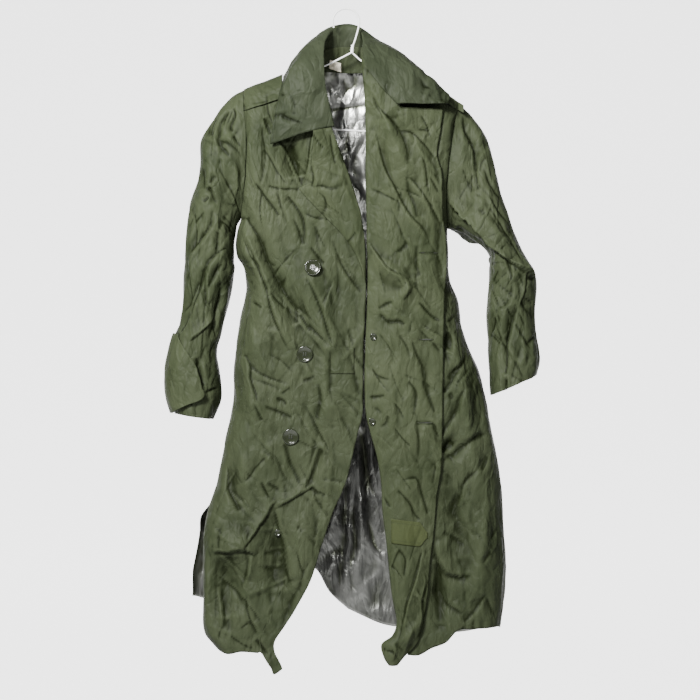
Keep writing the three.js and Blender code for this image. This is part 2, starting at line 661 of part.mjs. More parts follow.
// Sleeves: oval sections, in an outer and an inner half
const SLEEVE_SET_OFF = 1.25;
const power = (value) => Math.sign(value) * Math.abs(value) ** (2 / OVAL);
function sleeveTube(rows) {
  const column = (name) => byRow(rows, name);
  const [outX, outZ, inX, inZ] = ['outX', 'outZ', 'inX', 'inZ'].map(column);
  const [middleY, depth, bow] = ['y', 'depth', 'bow'].map(column);
  const outward = Math.sign(rows[0].outX);
  return (degrees, v) => {
    const k = v * (rows.length - 1);
    const turn = THREE.MathUtils.degToRad(degrees);
    const e = power(Math.cos(turn));
    const setOff = outward * SLEEVE_SET_OFF * (1 - smooth(v * 8));
    const x = mix(inX(k), outX(k), (1 + e) / 2) + bow(k) * (1 - e * e) + setOff;
    const z = mix(inZ(k), outZ(k), (1 + e) / 2);
    return [x, middleY(k) - depth(k) * power(Math.sin(turn)), z];
  };
}
const rightSleeve = sleeveTube(SLEEVE_RIGHT);
const leftSleeve = sleeveTube(SLEEVE_LEFT);
const SEAM_ANGLE = 0.5;
const half = (tube, from) => (u, v) => tube(mix(from + SEAM_ANGLE, from + 180 - SEAM_ANGLE, u), v);

// Collar: a stand that rises from the neck seam and a leaf that falls outside it
function collarSection(row) {
  const at = (name) => [0, 1, 2].map((part) => byRow(COLLAR, name, part)(row));
  return { seam: at('seam'), roll: at('roll'), crest: at('crest'), edge: at('edge') };
}
const COLLAR_STATIONS = [
  { b: 0, from: 'seam' },
  { b: 0.3, from: 'roll' },
  { b: 0.5, from: 'crest' },
  { b: 1, from: 'edge' },
];
function collarPoint(u, v) {
  const section = collarSection(u * (COLLAR.length - 1));
  return [0, 1, 2].map((part) => {
    const rows = COLLAR_STATIONS.map((station) => ({ b: station.b, v: section[station.from][part] }));
    return through(rows, 'b', 'v')(v);
  });
}

// Neck facing inside the back of the collar, and the blank label sewn to it
const NECK_FACING = { from: 5.2, to: 8.05, top: 0.52, bottom: -0.16, inset: 4.5, lowInset: 9.5, neckX: 8, neckY: -10 };
function neckFacingPoint(u, v, extra = 0) {
  const section = collarSection(mix(NECK_FACING.from, NECK_FACING.to, u));
  const height = mix(NECK_FACING.top, NECK_FACING.bottom, v);
  const point = [0, 1, 2].map((part) => mix(section.seam[part], section.roll[part], height));
  const toward = [NECK_FACING.neckX - point[0], NECK_FACING.neckY - point[1]];
  const far = Math.hypot(...toward);
  const inset = mix(NECK_FACING.inset, NECK_FACING.lowInset, v) + extra;
  return [point[0] + (toward[0] / far) * inset, point[1] + (toward[1] / far) * inset, point[2]];
}
const LABEL = { from: 0.2, to: 0.44, top: 0.56, bottom: 0.9, slant: 0.16, lift: 2.4 };
function labelPoint(u, v) {
  const slant = LABEL.slant * (1 - u);
  return neckFacingPoint(
    mix(LABEL.from, LABEL.to, u),
    mix(LABEL.top, LABEL.bottom, v) - LABEL.slant / 2 + slant,
    LABEL.lift,
  );
}

// Where a level line from the front first meets the named pieces, and how the cloth slopes there
const ray = new THREE.Raycaster();
const BACKWARD = new THREE.Vector3(0, 1, 0);
function clothAt(meshes, x, z) {
  ray.set(new THREE.Vector3(x, -500, z), BACKWARD);
  const [hit] = ray.intersectObjects(meshes, false);
  return hit ? hit.point.y : null;
}
function lifted(meshes, x, z, lift) {
  const d = 3;
  const y = (dx, dz) => clothAt(meshes, x + dx, z + dz) ?? clothAt(meshes, x, z) ?? 0;
  const normal = new THREE.Vector3((y(d, 0) - y(-d, 0)) / (2 * d), -1, (y(0, d) - y(0, -d)) / (2 * d));
  normal.normalize();
  return [x + normal.x * lift, y(0, 0) + normal.y * lift, z + normal.z * lift];
}

// Shoulder loops, from the armhole to the collar
const LOOP_TOP_DROP = 3;
function loopPoint(loop, meshes) {
  return (u, v) => {
    const x = mix(loop.x0, loop.x1, u);
    const low = mix(loop.frontOut, loop.frontIn, u);
    return lifted(meshes, x, mix(shoulderZ(x) - LOOP_TOP_DROP, low, v), CLOTH + LOOP_LIFT);
  };
}

// Patch near the right front's edge, and the pointed tab on the facing
function edgePatchPoint(meshes, u, v) {
  const x = mix(EDGE_PATCH.x0, EDGE_PATCH.x1, u);
  return lifted(meshes, x, mix(EDGE_PATCH.z1, EDGE_PATCH.z0, v), CLOTH + EDGE_PATCH.lift);
}
function facingTabPoint(meshes, u, v) {
  const tipShare = 1 - FACING_TAB.tip / (FACING_TAB.x1 - FACING_TAB.x0);
  const taper = 1 - 0.75 * smooth((u - tipShare) / (1 - tipShare));
  const middle = mix(FACING_TAB.z1, FACING_TAB.z0, 0.5) + FACING_TAB.slant * u;
  const halfWide = ((FACING_TAB.z1 - FACING_TAB.z0) / 2) * taper;
  const x = mix(FACING_TAB.x0, FACING_TAB.x1, u);
  return lifted(meshes, x, middle + halfWide * (1 - 2 * v), CLOTH + FACING_TAB.lift);
}

// The cuff flap, turned open round the front of the right sleeve
const flapSection = byRow(CUFF_FLAP, 'section');
const flapReach = byRow(CUFF_FLAP, 'reach');
function cuffFlapPoint(u, v) {
  const k = v * (CUFF_FLAP.length - 1);
  const along = flapSection(k) / (SLEEVE_RIGHT.length - 1);
  const [x, y, z] = rightSleeve(mix(CUFF_FLAP_FROM, flapReach(k), u), along);
  const [outer, inner] = [rightSleeve(0, along), rightSleeve(180, along)];
  const away = new THREE.Vector2(x - (outer[0] + inner[0]) / 2, y - outer[1]);
  away.setLength(CLOTH + CUFF_FLAP_LIFT + CUFF_FLAP_FLARE * v);
  return [x + away.x, y + away.y, z];
}

// Buttons
function ringOfPoints(radius, sides, x = 0, y = 0) {
  return Array.from({ length: sides }, (_, k) => {
    const turn = (2 * Math.PI * k) / sides;
    return new THREE.Vector2(x + radius * Math.cos(turn), y + radius * Math.sin(turn));
  });
}
function bigButton() {
  const disc = new THREE.Shape(ringOfPoints(BUTTON.radius, BUTTON.sides));
  for (const quarter of [45, 135, 225, 315]) {
    const turn = THREE.MathUtils.degToRad(quarter);
    const [x, y] = [BUTTON.holeOffset * Math.cos(turn), BUTTON.holeOffset * Math.sin(turn)];
    disc.holes.push(new THREE.Path(ringOfPoints(BUTTON.hole, BUTTON.holeSides, x, y).reverse()));
  }
  const plate = new THREE.ExtrudeGeometry(disc, { depth: BUTTON.thick - 1, bevelEnabled: false });
  const inside = BUTTON.radius - BUTTON.rim;
  const profile = [
    [inside, BUTTON.thick - 1.4],
    [BUTTON.radius - 0.2, BUTTON.thick - 1.4],
    [BUTTON.radius - 0.6, BUTTON.thick],
    [inside + 0.8, BUTTON.thick],
    [inside, BUTTON.thick - 1.4],
  ].map(([r, h]) => new THREE.Vector2(r, h));
  const ring = new THREE.LatheGeometry(profile, BUTTON.sides).rotateX(Math.PI / 2);
  return fromManifold(toManifold(plate).add(toManifold(ring)));
}
function smallButton() {
  const { radius, thick, sides } = SMALL_BUTTON;
  const profile = [[0, 0], [radius, 0], [radius, thick * 0.7], [radius * 0.8, thick], [0, thick * 0.8]];
  return new THREE.LatheGeometry(profile.map(([r, h]) => new THREE.Vector2(r, h)), sides).rotateX(Math.PI / 2);
}

// Hanger: one bent wire, twisted below its hook
function wirePath(points) {
  return new THREE.CatmullRomCurve3(points.map(([x, z]) => new THREE.Vector3(x, 0, z)), false, 'centripetal');
}
function wireAlong(path, steps) {
  const section = new THREE.Shape().absarc(0, 0, WIRE, 0, Math.PI * 2);
  return new THREE.ExtrudeGeometry(section, { steps, curveSegments: 4, bevelEnabled: false, extrudePath: path });
}
function hanger() {
  const hook = [];
  const centreZ = WIRE - HOOK_RADIUS;
  const arcSteps = 12;
  for (let k = arcSteps; k >= 0; k -= 1) {
    const turn = THREE.MathUtils.degToRad(mix(HOOK_FROM, HOOK_TO, k / arcSteps));
    hook.push([HOOK_RADIUS * Math.cos(turn), centreZ + HOOK_RADIUS * Math.sin(turn)]);
  }
  hook.push([17.5, -55], [TWIST.x + 0.5, TWIST.z + 8], [TWIST.x, TWIST.z]);
  const arm = (x) => [x, shoulderZ(x) - UNDER_SHOULDER];
  const frame = [
    [TWIST.x, TWIST.z], [-36, -104], arm(-74), arm(-112), arm(-148), [-171, -161],
    [-182, -179], [-177, -201], [-158, -213], [-90, -219], [10, -225.5], [110, -230],
    [180, -233], [197, -222], [203, -206], [194, -188], arm(164), arm(128), arm(94),
    [30, -97], [TWIST.x, TWIST.z],
  ];
  const twist = new THREE.CylinderGeometry(WIRE * 1.9, WIRE * 1.9, TWIST_LENGTH, 10);
  twist.rotateX(Math.PI / 2).rotateY(THREE.MathUtils.degToRad(6)).translate(TWIST.x + 0.6, 0, TWIST.z + 6);
  const solids = [wireAlong(wirePath(hook), 24), wireAlong(wirePath(frame), 42), twist].map(toManifold);
  return fromManifold(solids[0].add(solids[1]).add(solids[2]));
}

// Assembly
const coat = new THREE.Group();
coat.name = 'raincoat_on_hanger';

const material = (name, color, roughness, metalness = 0) => {
  const made = new THREE.MeshStandardMaterial({ color, roughness, metalness });
  made.name = name;
  return made;
};
function add(name, geometry, color = OLIVE, roughness = 0.6) {
  const mesh = new THREE.Mesh(geometry, material(name, color, roughness));
  mesh.name = name;
  coat.add(mesh);
  return mesh;
}

add('hanger', hanger(), WIRE_COLOUR, 0.35);
const frontRight = add('front_right', wall(17, 32, -1, rightFrontPoint));
const frontLeft = add('front_left', wall(15, 28, 1, leftFrontPoint));
add('lapel_right', wall(6, 12, 1, (u, v) => lapelPoint([frontRight], u, v)));
const facing = add('facing_left', wall(9, 30, -1, (u, v) => facingPoint([frontLeft], u, v)), OLIVE_LIGHT);
add('back_right', wall(12, 24, 1, backRightPoint));
add('back_left', wall(12, 24, -1, backLeftPoint));
add('collar', wall(26, 9, 1, collarPoint));
add('neck_facing', wall(8, 3, -1, (u, v) => neckFacingPoint(u, v)));
add('label', wall(3, 2, -1, labelPoint, LABEL_THICK), LABEL_COLOUR, 0.8);
add('sleeve_outer_right', wall(9, 20, -1, half(rightSleeve, -90)));
add('sleeve_inner_right', wall(9, 20, -1, half(rightSleeve, 90)));
add('sleeve_outer_left', wall(9, 19, 1, half(leftSleeve, -90)));
add('sleeve_inner_left', wall(9, 19, 1, half(leftSleeve, 90)));
add('cuff_flap_right', wall(7, 8, -1, cuffFlapPoint), OLIVE_LIGHT);
add('shoulder_loop_right', wall(5, 5, -1, loopPoint(LOOP_RIGHT, [frontRight])));
add('shoulder_loop_left', wall(4, 5, 1, loopPoint(LOOP_LEFT, [frontLeft])));
add('edge_patch_right', wall(3, 3, -1, (u, v) => edgePatchPoint([frontRight], u, v)));
add('facing_tab_left', wall(6, 3, -1, (u, v) => facingTabPoint([facing], u, v)), OLIVE_LIGHT);

// Buttons lie on the cloth, each turned to the slope it is sewn on
const BUTTONS = [
  { name: 'front_button_1', x: -61, z: -483, big: true, on: frontRight },
  { name: 'front_button_2', x: -76, z: -642, big: true, on: frontRight },
  { name: 'front_button_3', x: -102, z: -794, big: true, on: frontRight },
  { name: 'front_button_4', x: -126, z: -971, big: false, on: frontRight },
  { name: 'facing_button_1', x: 50, z: -610, big: false, on: facing },
  { name: 'facing_button_2', x: 48, z: -766, big: false, on: facing },
];
for (const spot of BUTTONS) {
  const radius = spot.big ? BUTTON.radius : SMALL_BUTTON.radius;
  const around = (r, sides) => ringOfPoints(r, sides, spot.x, spot.z).map((p) => (
    new THREE.Vector3(p.x, clothAt([spot.on], p.x, p.y), p.y)));
  const rim = around(radius, 8);
  const away = rim[0].clone().sub(rim[4]).cross(rim[2].clone().sub(rim[6])).normalize();
  if (away.y > 0) away.negate();
  const middle = new THREE.Vector3(spot.x, clothAt([spot.on], spot.x, spot.z), spot.z);
  const under = [middle, ...around(radius, 24), ...around(radius / 2, 12)];
  const height = Math.max(...under.map((p) => p.clone().sub(middle).dot(away)));
  const mesh = add(spot.name, spot.big ? bigButton() : smallButton(), BUTTON_COLOUR, 0.35);
  mesh.position.copy(middle).addScaledVector(away, height + BUTTON_LIFT);
  mesh.quaternion.setFromUnitVectors(new THREE.Vector3(0, 0, 1), away);
}

export default coat;
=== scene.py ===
import math
from itertools import accumulate
import bpy
import numpy as np
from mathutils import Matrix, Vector
from mathutils.bvhtree import BVHTree


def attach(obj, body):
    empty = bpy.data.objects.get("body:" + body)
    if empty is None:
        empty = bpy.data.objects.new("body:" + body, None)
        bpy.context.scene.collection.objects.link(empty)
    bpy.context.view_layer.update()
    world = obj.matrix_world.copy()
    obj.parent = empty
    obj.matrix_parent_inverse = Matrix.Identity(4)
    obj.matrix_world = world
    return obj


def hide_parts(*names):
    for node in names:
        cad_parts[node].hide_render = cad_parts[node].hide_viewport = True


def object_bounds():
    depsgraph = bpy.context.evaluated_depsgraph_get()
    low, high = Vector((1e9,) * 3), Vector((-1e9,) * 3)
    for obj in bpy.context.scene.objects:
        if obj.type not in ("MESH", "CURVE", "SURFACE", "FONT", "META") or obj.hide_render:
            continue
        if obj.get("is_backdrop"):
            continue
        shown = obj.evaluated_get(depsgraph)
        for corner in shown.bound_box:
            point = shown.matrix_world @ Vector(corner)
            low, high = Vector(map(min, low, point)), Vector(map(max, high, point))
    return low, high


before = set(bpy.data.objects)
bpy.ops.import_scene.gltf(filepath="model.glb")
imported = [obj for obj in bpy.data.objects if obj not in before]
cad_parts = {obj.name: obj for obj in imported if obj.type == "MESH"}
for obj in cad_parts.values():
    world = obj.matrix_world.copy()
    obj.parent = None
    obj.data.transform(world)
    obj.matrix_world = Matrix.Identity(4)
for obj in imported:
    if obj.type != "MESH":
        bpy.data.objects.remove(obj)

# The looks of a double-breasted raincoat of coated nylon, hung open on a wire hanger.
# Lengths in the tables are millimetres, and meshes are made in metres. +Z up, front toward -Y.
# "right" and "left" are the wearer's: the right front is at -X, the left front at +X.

bounds_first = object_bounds()
MM = 0.001

# Cloth and clearances
CLOTH = 0.9
SEAM_GAP = 0.1

# Shoulders: the line where front and back lie over the wire
SHOULDER_RIGHT = dict(neckX=-72, neckZ=-114, tipX=-191, tipZ=-161)
SHOULDER_LEFT = dict(neckX=92, neckZ=-118, tipX=209, tipZ=-178)
SHOULDER_DROP = 62
BACK_NECK_Z = -107
FRONT_DEPTH = 56
BACK_DEPTH = 50
CENTRE_SEAM_X = 4

# Armholes: top and armpit, half depth, bow toward the body
ARMHOLE_RIGHT = dict(topX=-191, topZ=-161, pitX=-196, pitZ=-390, depth=42, bow=9)
ARMHOLE_LEFT = dict(topX=209, topZ=-178, pitX=189, pitZ=-409, depth=42, bow=-10)
OVAL = 2.3


def table(names, *lines):
    columns = np.array(lines, float).T
    return dict(zip(names.split(), columns))


# Sides of the body below the armpits, from the front
UPPER_RIGHT_SIDE = (
    (-390, -196, 0, 36), (-415, -203, 2, 40), (-440, -206.4, 4, 44), (-460, -204, 6, 46),
    (-478, -193, 6, 46), (-505, -188, 6, 46), (-528, -187, 6, 46),
    (-588, -196, 6, 46), (-657, -209, 6, 48), (-727, -211, 8, 52), (-801, -226, 8, 56), (-875, -240, 8, 56))
RIGHT_SIDE = table(
    "z x y corner", *UPPER_RIGHT_SIDE,
    (-925, -255, 2, 48), (-968, -263, -14, 30), (-1051, -265, -24, 26),
    (-1116, -265, -24, 26), (-1160, -261, -20, 26), (-1190, -239, -20, 26), (-1232, -229, -20, 26))
LEFT_SIDE = table(
    "z x y corner",
    (-409, 189, 0, 36), (-440, 191, 4, 44), (-505, 192, 5, 44), (-542, 209, 5, 46),
    (-588, 216, 5, 48), (-635, 231, 5, 52), (-675, 248, 5, 54), (-727, 262, 6, 56),
    (-773, 270, 6, 58), (-829, 281, 6, 58), (-884, 290, 6, 58), (-949, 294, 6, 58),
    (-1023, 298, 6, 56), (-1079, 296, 6, 52), (-1145, 290, 6, 48), (-1199, 285, 6, 48))
BACK_RIGHT_SIDE = table(
    "z x y corner", *UPPER_RIGHT_SIDE,
    (-912, -251, 10, 52), (-949, -272, 20, 30), (-995, -278, 34, 20),
    (-1067, -289, 36, 20), (-1120, -290, 36, 20))

# Neckline, turn of the lapel and free edge of the right front
RIGHT_EDGE = table(
    "z x",
    (-114, -73), (-130, -67), (-157, -57), (-202, -38), (-228, -26), (-279, -6), (-335, 13),
    (-381, 26.5), (-431, 34), (-472, 36.5), (-542, 36.2), (-616, 33.2), (-690, 31.2), (-755, 30),
    (-790, 21), (-834, 11), (-882, -2), (-934, -24), (-995, -45), (-1054, -63), (-1104, -89),
    (-1143, -113), (-1171, -131), (-1190, -131), (-1208, -122), (-1221, -117), (-1232, -121))
# Fold along which the left front is turned back
ROLL_LINE = table(
    "z x",
    (-89, 28), (-144, 32), (-191, 35), (-246, 36), (-357, 37), (-468, 39.5), (-542, 39),
    (-616, 36), (-690, 34), (-755, 37), (-792, 46), (-832, 57), (-884, 65), (-931, 67),
    (-979, 73), (-1027, 78), (-1084, 84), (-1134, 94), (-1171, 104), (-1199, 115))

# Hems, by the share of the panel's width from its side
RIGHT_HEM = table("u z", (0, -1186), (.18, -1194), (.42, -1190), (.7, -1192), (.77, -1193),
                  (.79, -1212), (.886, -1231), (1, -1221))
LEFT_HEM = table("u z", (0, -1146), (.16, -1147), (.32, -1148), (.44, -1151), (.56, -1172), (.72, -1183),
                 (.88, -1196), (1, -1196))
BACK_RIGHT_HEM = table("u z", (0, -1096), (.25, -1112), (.5, -1084), (.78, -1046), (.88, -1090),
                       (1, -1122))
BACK_LEFT_HEM = table("u z", (0, -1152), (.3, -1166), (.6, -1158), (.78, -1150), (1, -1122))

# The turned-back facing of the left front: its fold, its free edge and the top of its lapel
FACING = table(
    "z fold edge",
    (-89, 28, 176), (-192, 35, 178), (-228, 36, 174), (-274, 36, 167), (-310, 36, 176),
    (-390, 38, 179), (-431, 38, 184), (-479, 39.5, 185), (-549, 39, 181), (-620, 36, 179),
    (-694, 34, 178), (-755, 37, 177), (-810, 51, 177), (-857, 62, 174), (-894, 65, 168),
    (-934, 67, 164), (-979, 73, 160), (-1027, 78, 154), (-1084, 84, 150), (-1134, 93, 143),
    (-1160, 85, 136), (-1175, 66, 129), (-1199, 70, 107), (-1215, 80, 94))
LEFT_GORGE = table("u z", (0, -92), (.13, -121), (.27, -155), (.45, -186), (.6, -189), (1, -192))
FACING_BOTTOM = -1214
FACING_NEAR = 2.8
FACING_FLAT_Y = -51
FACING_BELLY = 10
FACING_EDGE_OUT = 3
FACING_CROWD = 1.05
ROLL_CLEAR = 2

# The right lapel: height of its turn, and its free edge
LAPEL = table("turn x z", (-226, -60, -231), (-262, -63, -292), (-296, -79, -330), (-320, -85, -340),
              (-370, -52, -376), (-430, -15, -414), (-470, 4, -438), (-498, 22, -470), (-512, 31, -500))
LAPEL_NEAR = 2.4
LAPEL_BELLY = 9
LAPEL_TOP_Y = -67
LAPEL_TOP_TIP = 6
LAPEL_TOP_SHARE = .13
LAPEL_EDGE_OUT = 2

# Sections round the collar: neck seam, roll, outer crest and free edge, as x, y, z of each
COLLAR = table(
    "seam0 seam1 seam2 roll0 roll1 roll2 crest0 crest1 crest2 edge0 edge1 edge2",
    (-27, -61, -226, -24, -66, -224, -61, -73, -232, -139, -66, -257),
    (-36, -61, -181, -33, -68, -187, -74, -77, -191, -133, -69, -211),
    (-52, -57, -150, -39, -66, -142, -80, -75, -142, -126, -62, -178),
    (-62, -42, -124, -40, -56, -105, -83, -58, -102, -120, -46, -146),
    (-66, -8, -108, -39, -36, -70, -80, -20, -74, -115, 4, -122),
    (-58, 14, -105, -33, -8, -50, -59, 18, -48, -98, 42, -132),
    (-33, 27, -104, -22, 16, -37, -31, 38, -31, -57, 62, -139),
    (11, 40, -104, 2, 26, -32, 2, 46, -29, 7, 68, -142),
    (52, 27, -104, 24, 16, -37, 33, 36, -37, 72, 62, -144),
    (75, 12, -106, 30, -8, -57, 68, 18, -57, 122, 44, -140),
    (80, -10, -108, 31, -40, -80, 92, -22, -76, 159, 2, -142),
    (48, -66, -114, 41, -70, -111, 118, -58, -110, 179, -34, -153),
    (72, -78, -155, 70, -82, -153, 133, -78, -155, 192, -56, -168),
    (99, -80, -186, 99, -84, -184, 142, -84, -184, 187, -72, -181))
COLLAR_STATIONS = (("seam", 0), ("roll", .3), ("crest", .5), ("edge", 1))

# Sleeve sections from the armhole to the cuff: outer and inner line, middle and half depth
SLEEVE_RIGHT = table(
    "outX outZ inX inZ y depth bow",
    (-191, -151, -196, -390, 0, 42, 9), (-217, -166, -202, -403, 0, 46, 2),
    (-250, -209, -204.6, -418, 0, 50, 0), (-267, -243, -207.4, -437, -2, 54, 0),
    (-270, -283, -207, -453, -4, 56, 0), (-278, -326, -208, -472, -6, 58, 0),
    (-292, -370, -206, -487, -8, 58, 0), (-299, -446, -213, -527, -12, 57, 0),
    (-302, -533, -222, -568, -16, 55, 0), (-306, -583, -231, -603, -20, 53, 0),
    (-318, -612, -238, -631, -22, 52, 0), (-328, -653, -236, -662, -24, 54, 0),
    (-330, -690, -233, -696, -26, 55, 0), (-326, -722, -233, -724, -26, 56, 0),
    (-315, -752, -246, -762, -26, 56, 0))
SLEEVE_LEFT = table(
    "outX outZ inX inZ y depth bow",
    (209, -176, 189, -409, 0, 42, -10), (231, -194, 200, -412, 0, 46, -2),
    (250, -222, 210, -415, 0, 50, 0), (268, -258, 221, -420, -2, 54, 0),
    (281, -310, 235, -430, -6, 56, 0), (288, -350, 250, -440, -10, 56, 0),
    (304, -394, 262, -452, -12, 54, 0), (326, -446, 267, -466, -14, 52, 0),
    (353, -500, 265, -494, -18, 50, 0), (350, -561, 260, -564, -22, 50, 0),
    (354, -612, 262, -620, -24, 52, 0), (360, -652, 264, -672, -26, 54, 0),
    (354, -680, 267, -718, -26, 54, 0))

# Main folds: a soft ridge from one end to the other, half width, height off the body
FOLD_COLUMNS = "x0 z0 x1 z1 half rise"
RIGHT_FOLDS = table(
    FOLD_COLUMNS,
    (-104, -252, -90, -318, 18, -22),
    (-196, -380, -139, -480, 15, -9), (-139, -480, -88, -590, 15, -9), (-200, -405, -135, -560, 18, 9),
    (-135, -560, -100, -640, 16, 7), (-70, -490, -28, -620, 18, 9), (-28, -620, -32, -780, 20, 8),
    (-198, -645, -160, -770, 18, 8), (-220, -830, -196, -920, 14, -12),
    (-236, -985, -180, -990, 24, 12), (-130, -960, -126, -1080, 24, -20), (-228, -1010, -214, -1130, 26, -22),
    (-88, -960, -80, -1060, 20, 10), (-220, -1060, -190, -1170, 20, 8))
LEFT_FOLDS = table(
    FOLD_COLUMNS,
    (200, -560, 236, -800, 20, 10), (222, -620, 262, -860, 14, -8), (190, -880, 214, -1020, 20, -10),
    (270, -900, 232, -1110, 18, 9), (170, -1020, 172, -1140, 13, -16), (190, -598, 188, -640, 12, -12),
    (178, -800, 200, -815, 16, -10))
FACING_FOLDS = table(
    FOLD_COLUMNS,
    (45, -150, 110, -300, 12, 7), (50, -230, 105, -380, 12, -6), (133, -250, 158, -370, 12, 6),
    (55, -468, 112, -512, 14, 9), (112, -512, 90, -560, 14, 7), (150, -1120, 95, -1180, 12, 8))
BACK_FOLDS = table(
    FOLD_COLUMNS,
    (-130, -420, -160, -1080, 26, -12), (-60, -260, -84, -1040, 24, 10), (80, -280, 120, -1120, 26, 11),
    (140, -480, 190, -1100, 24, -12), (-170, -200, -90, -420, 18, 8), (176, -210, 100, -430, 18, 8))


def creases(*rows):
    """Creases from rows of half width, height off the body, lean, x and z of the path's start, and its steps.
    Lean is how steep one side is, as a share: the side on the left of the path where above 0."""
    return [(tuple(zip(accumulate(row[3::2]), accumulate(row[4::2]))), *row[:3]) for row in rows]


RIGHT_CREASES = creases(
    (4, -7, -.5, -151, -208, 5, -13, 6, -18), (4, -4, .5, -150, -265, 13, -21, 10, -18, 16, -23),
    (5, -5, .5, -166, -327, 16, -23, 15, -19, 13, -18), (5, 8, .9, -127, -249, 20, -26, 11, -26, 13, -33),
    (4, 5, -.8, -60, -236, -4, -21, -4, -34, -6, -28),
    (5, -6, .4, -107, -350, 16, -21, 13, -24, 2, -26, 0, -20), (4, -4, .4, -96, -392, 10, -23, 8, -26),
    (3.5, -3, .3, -55, -405, 5, -18, 11, -23), (3.5, -4, .3, -64, -444, 12, -18, 13, -13),
    (5, -5, -.3, -26, -433, 18, -45, 18, -28, 18, -23), (3, -3, .3, -143, -332, 23, -5, 34, 0),
    (6, 5, 0, -195, -441, 13, -26, 16, -31), (5, -4, .4, -190, -478, 11, -20, 10, -26),
    (8, -12, -.4, -190, -384, 18, -24, 16, -31, 15, -41, 16, -29, 18, -29, 14, -20, 3, -27),
    (6, -8, .5, -205, -405, 15, -16, 13, -25, 16, -37, 14, -37, 11, -45, 16, -38, 18, -36),
    (4, -6, .4, -196, -413, 13, -29, 9, -22, 20, -23),
    (6, -9, .5, -72, -502, 17, -34, 14, -38, 11, -36, 4, -16),
    (9, -8, -.2, -30, -634, 1, -25, -1, -45, 4, -34),
    (5, -8, -.6, -201, -641, 16, -7, 9, -18, 0, -22, 9, -27, 2, -16),
    (5, -6, .4, -169, -733, 11, -23, 4, -8), (5, -5, .4, -149, -738, 18, -6, 18, -7, 15, -7),
    (4, -5, .4, -129, -723, 14, -3, 6, -9), (4, -3, .3, -120, -715, 18, 13), (5, -3, .3, -80, -691, 23, 9),
    (4, -6, .4, -68, -587, 13, -14, 14, -13), (4, -6, -.4, -86, -569, 11, -18, 9, -14),
    (4, -6, .3, -185, -507, 14, -2), (4, -5, .3, -178, -543, 13, -6, 11, -7),
    (7, -6, .2, -50, -693, 4, -33, -9, -38), (6, 3, .2, -111, -509, 5, -29, -9, -31),
    (5, -4, .3, -201, -603, 12, 20, 6, 16), (5, -10, -.5, -222, -841, 3, -22, 1, -29, 12, -22, 8, -17),
    (4, -7, .3, -211, -770, 1, -29, -19, -38, -1, -10),
    (6, 10, .9, -131, -912, -8, -11, -10, -20, -10, -12, -9, -16, -16, -21, -6, -8),
    (7, 13, -.9, -246, -1005, 21, -1, 35, 5, 25, -9), (5, 8, -.3, -174, -1011, -5, -37, -13, -30),
    (5, 7, .3, -235, -1070, 5, -41, 1, -32), (7, 9, -.9, -128, -927, 8, -41, 9, -26, 2, -41, 6, -22),
    (4, -6, .4, -92, -994, 10, -41, 8, -5), (5, -5, .3, -66, -1019, -13, -29, -6, -32),
    (6, 8, -.8, -131, -924, 27, 14, 25, 15, 21, 10), (5, -8, .4, -79, -895, 13, 23, 13, 38, 6, 19),
    (6, -8, -.4, -114, -805, 10, -36, 17, -39), (5, -4, .3, -136, -821, -29, -29, -16, -22, -22, -10),
    (3, 2.5, -.7, -28, -794, -8, -98, -14, -63, -8, -51, -3, -35), (4, -4, .3, -151, -1009, 31, 4, 6, -4),
    (5, -4, .3, -165, -1032, 35, -6, 16, 6), (7, 5, -.3, -197, -1089, 42, 14, 47, 21),
    (4, -4, .3, -194, -1146, 16, 9, 16, -16), (4, -7, .5, -165, -1166, 10, -12, 12, -15),
    (10, -8, .2, -80, -1060, -20, -37, -24, -59), (4, -5, .4, -155, -876, 7, -17, 7, -14),
    (4, -4, .4, -144, -879, 22, -11), (4, -3, .3, -213, -1159, 23, -16, 19, -7),
    (5, 3, .3, -136, -1102, -7, -22, 13, -26))
LEFT_CREASES = creases(
    (5, -8, .4, 186, -583, 11, 8, 10, 9), (6, -10, -.4, 216, -626, 4, -16, -9, -22, -17, -12, -6, -13),
    (4, -6, .4, 239, -655, -17, -21, -17, -20), (5, -8, .4, 214, -662, -26, -40, -6, -13),
    (4, -6, .3, 248, -674, -9, -11, -8, -23), (6, -9, .4, 222, -700, -13, -23, -6, -24, -19, -31, -8, -17),
    (7, -5, .3, 262, -717, -12, -30, -7, -27), (7, -11, .3, 176, -837, 21, 12, 25, 19, 26, 15, 19, 0),
    (5, -10, .3, 175, -823, 9, 13, 9, 10), (4, -5, .3, 192, -710, 5, -15), (5, -6, .3, 265, -827, -17, -30),
    (5, -6, .3, 188, -536, 4, -22, 11, -4), (5, -7, .4, 243, -856, -26, -23, -6, -22, -13, -35),
    (5, -6, .3, 271, -828, -22, -32), (6, 11, -.9, 168, -984, 1, -29, 16, -28, 29, -10),
    (7, -9, .5, 255, -1086, -19, -29, -19, -20), (5, -6, .3, 181, -1047, 22, -7, 27, 5),
    (5, -6, .3, 170, -1079, 22, -27, 23, -13), (5, -6, .3, 179, -968, 25, -16, 13, -9),
    (5, -6, .3, 281, -962, -16, -25), (5, -5, .3, 268, -1006, -19, -23),
    (6, -6, .3, 255, -1083, 13, -28, 10, -23), (6, 4, .3, 204, -942, -12, -26, -7, -38),
    (6, 3, .3, 230, -901, -7, -41, 7, -26), (6, 4, .3, 274, -1038, -3, -38, 10, -35))
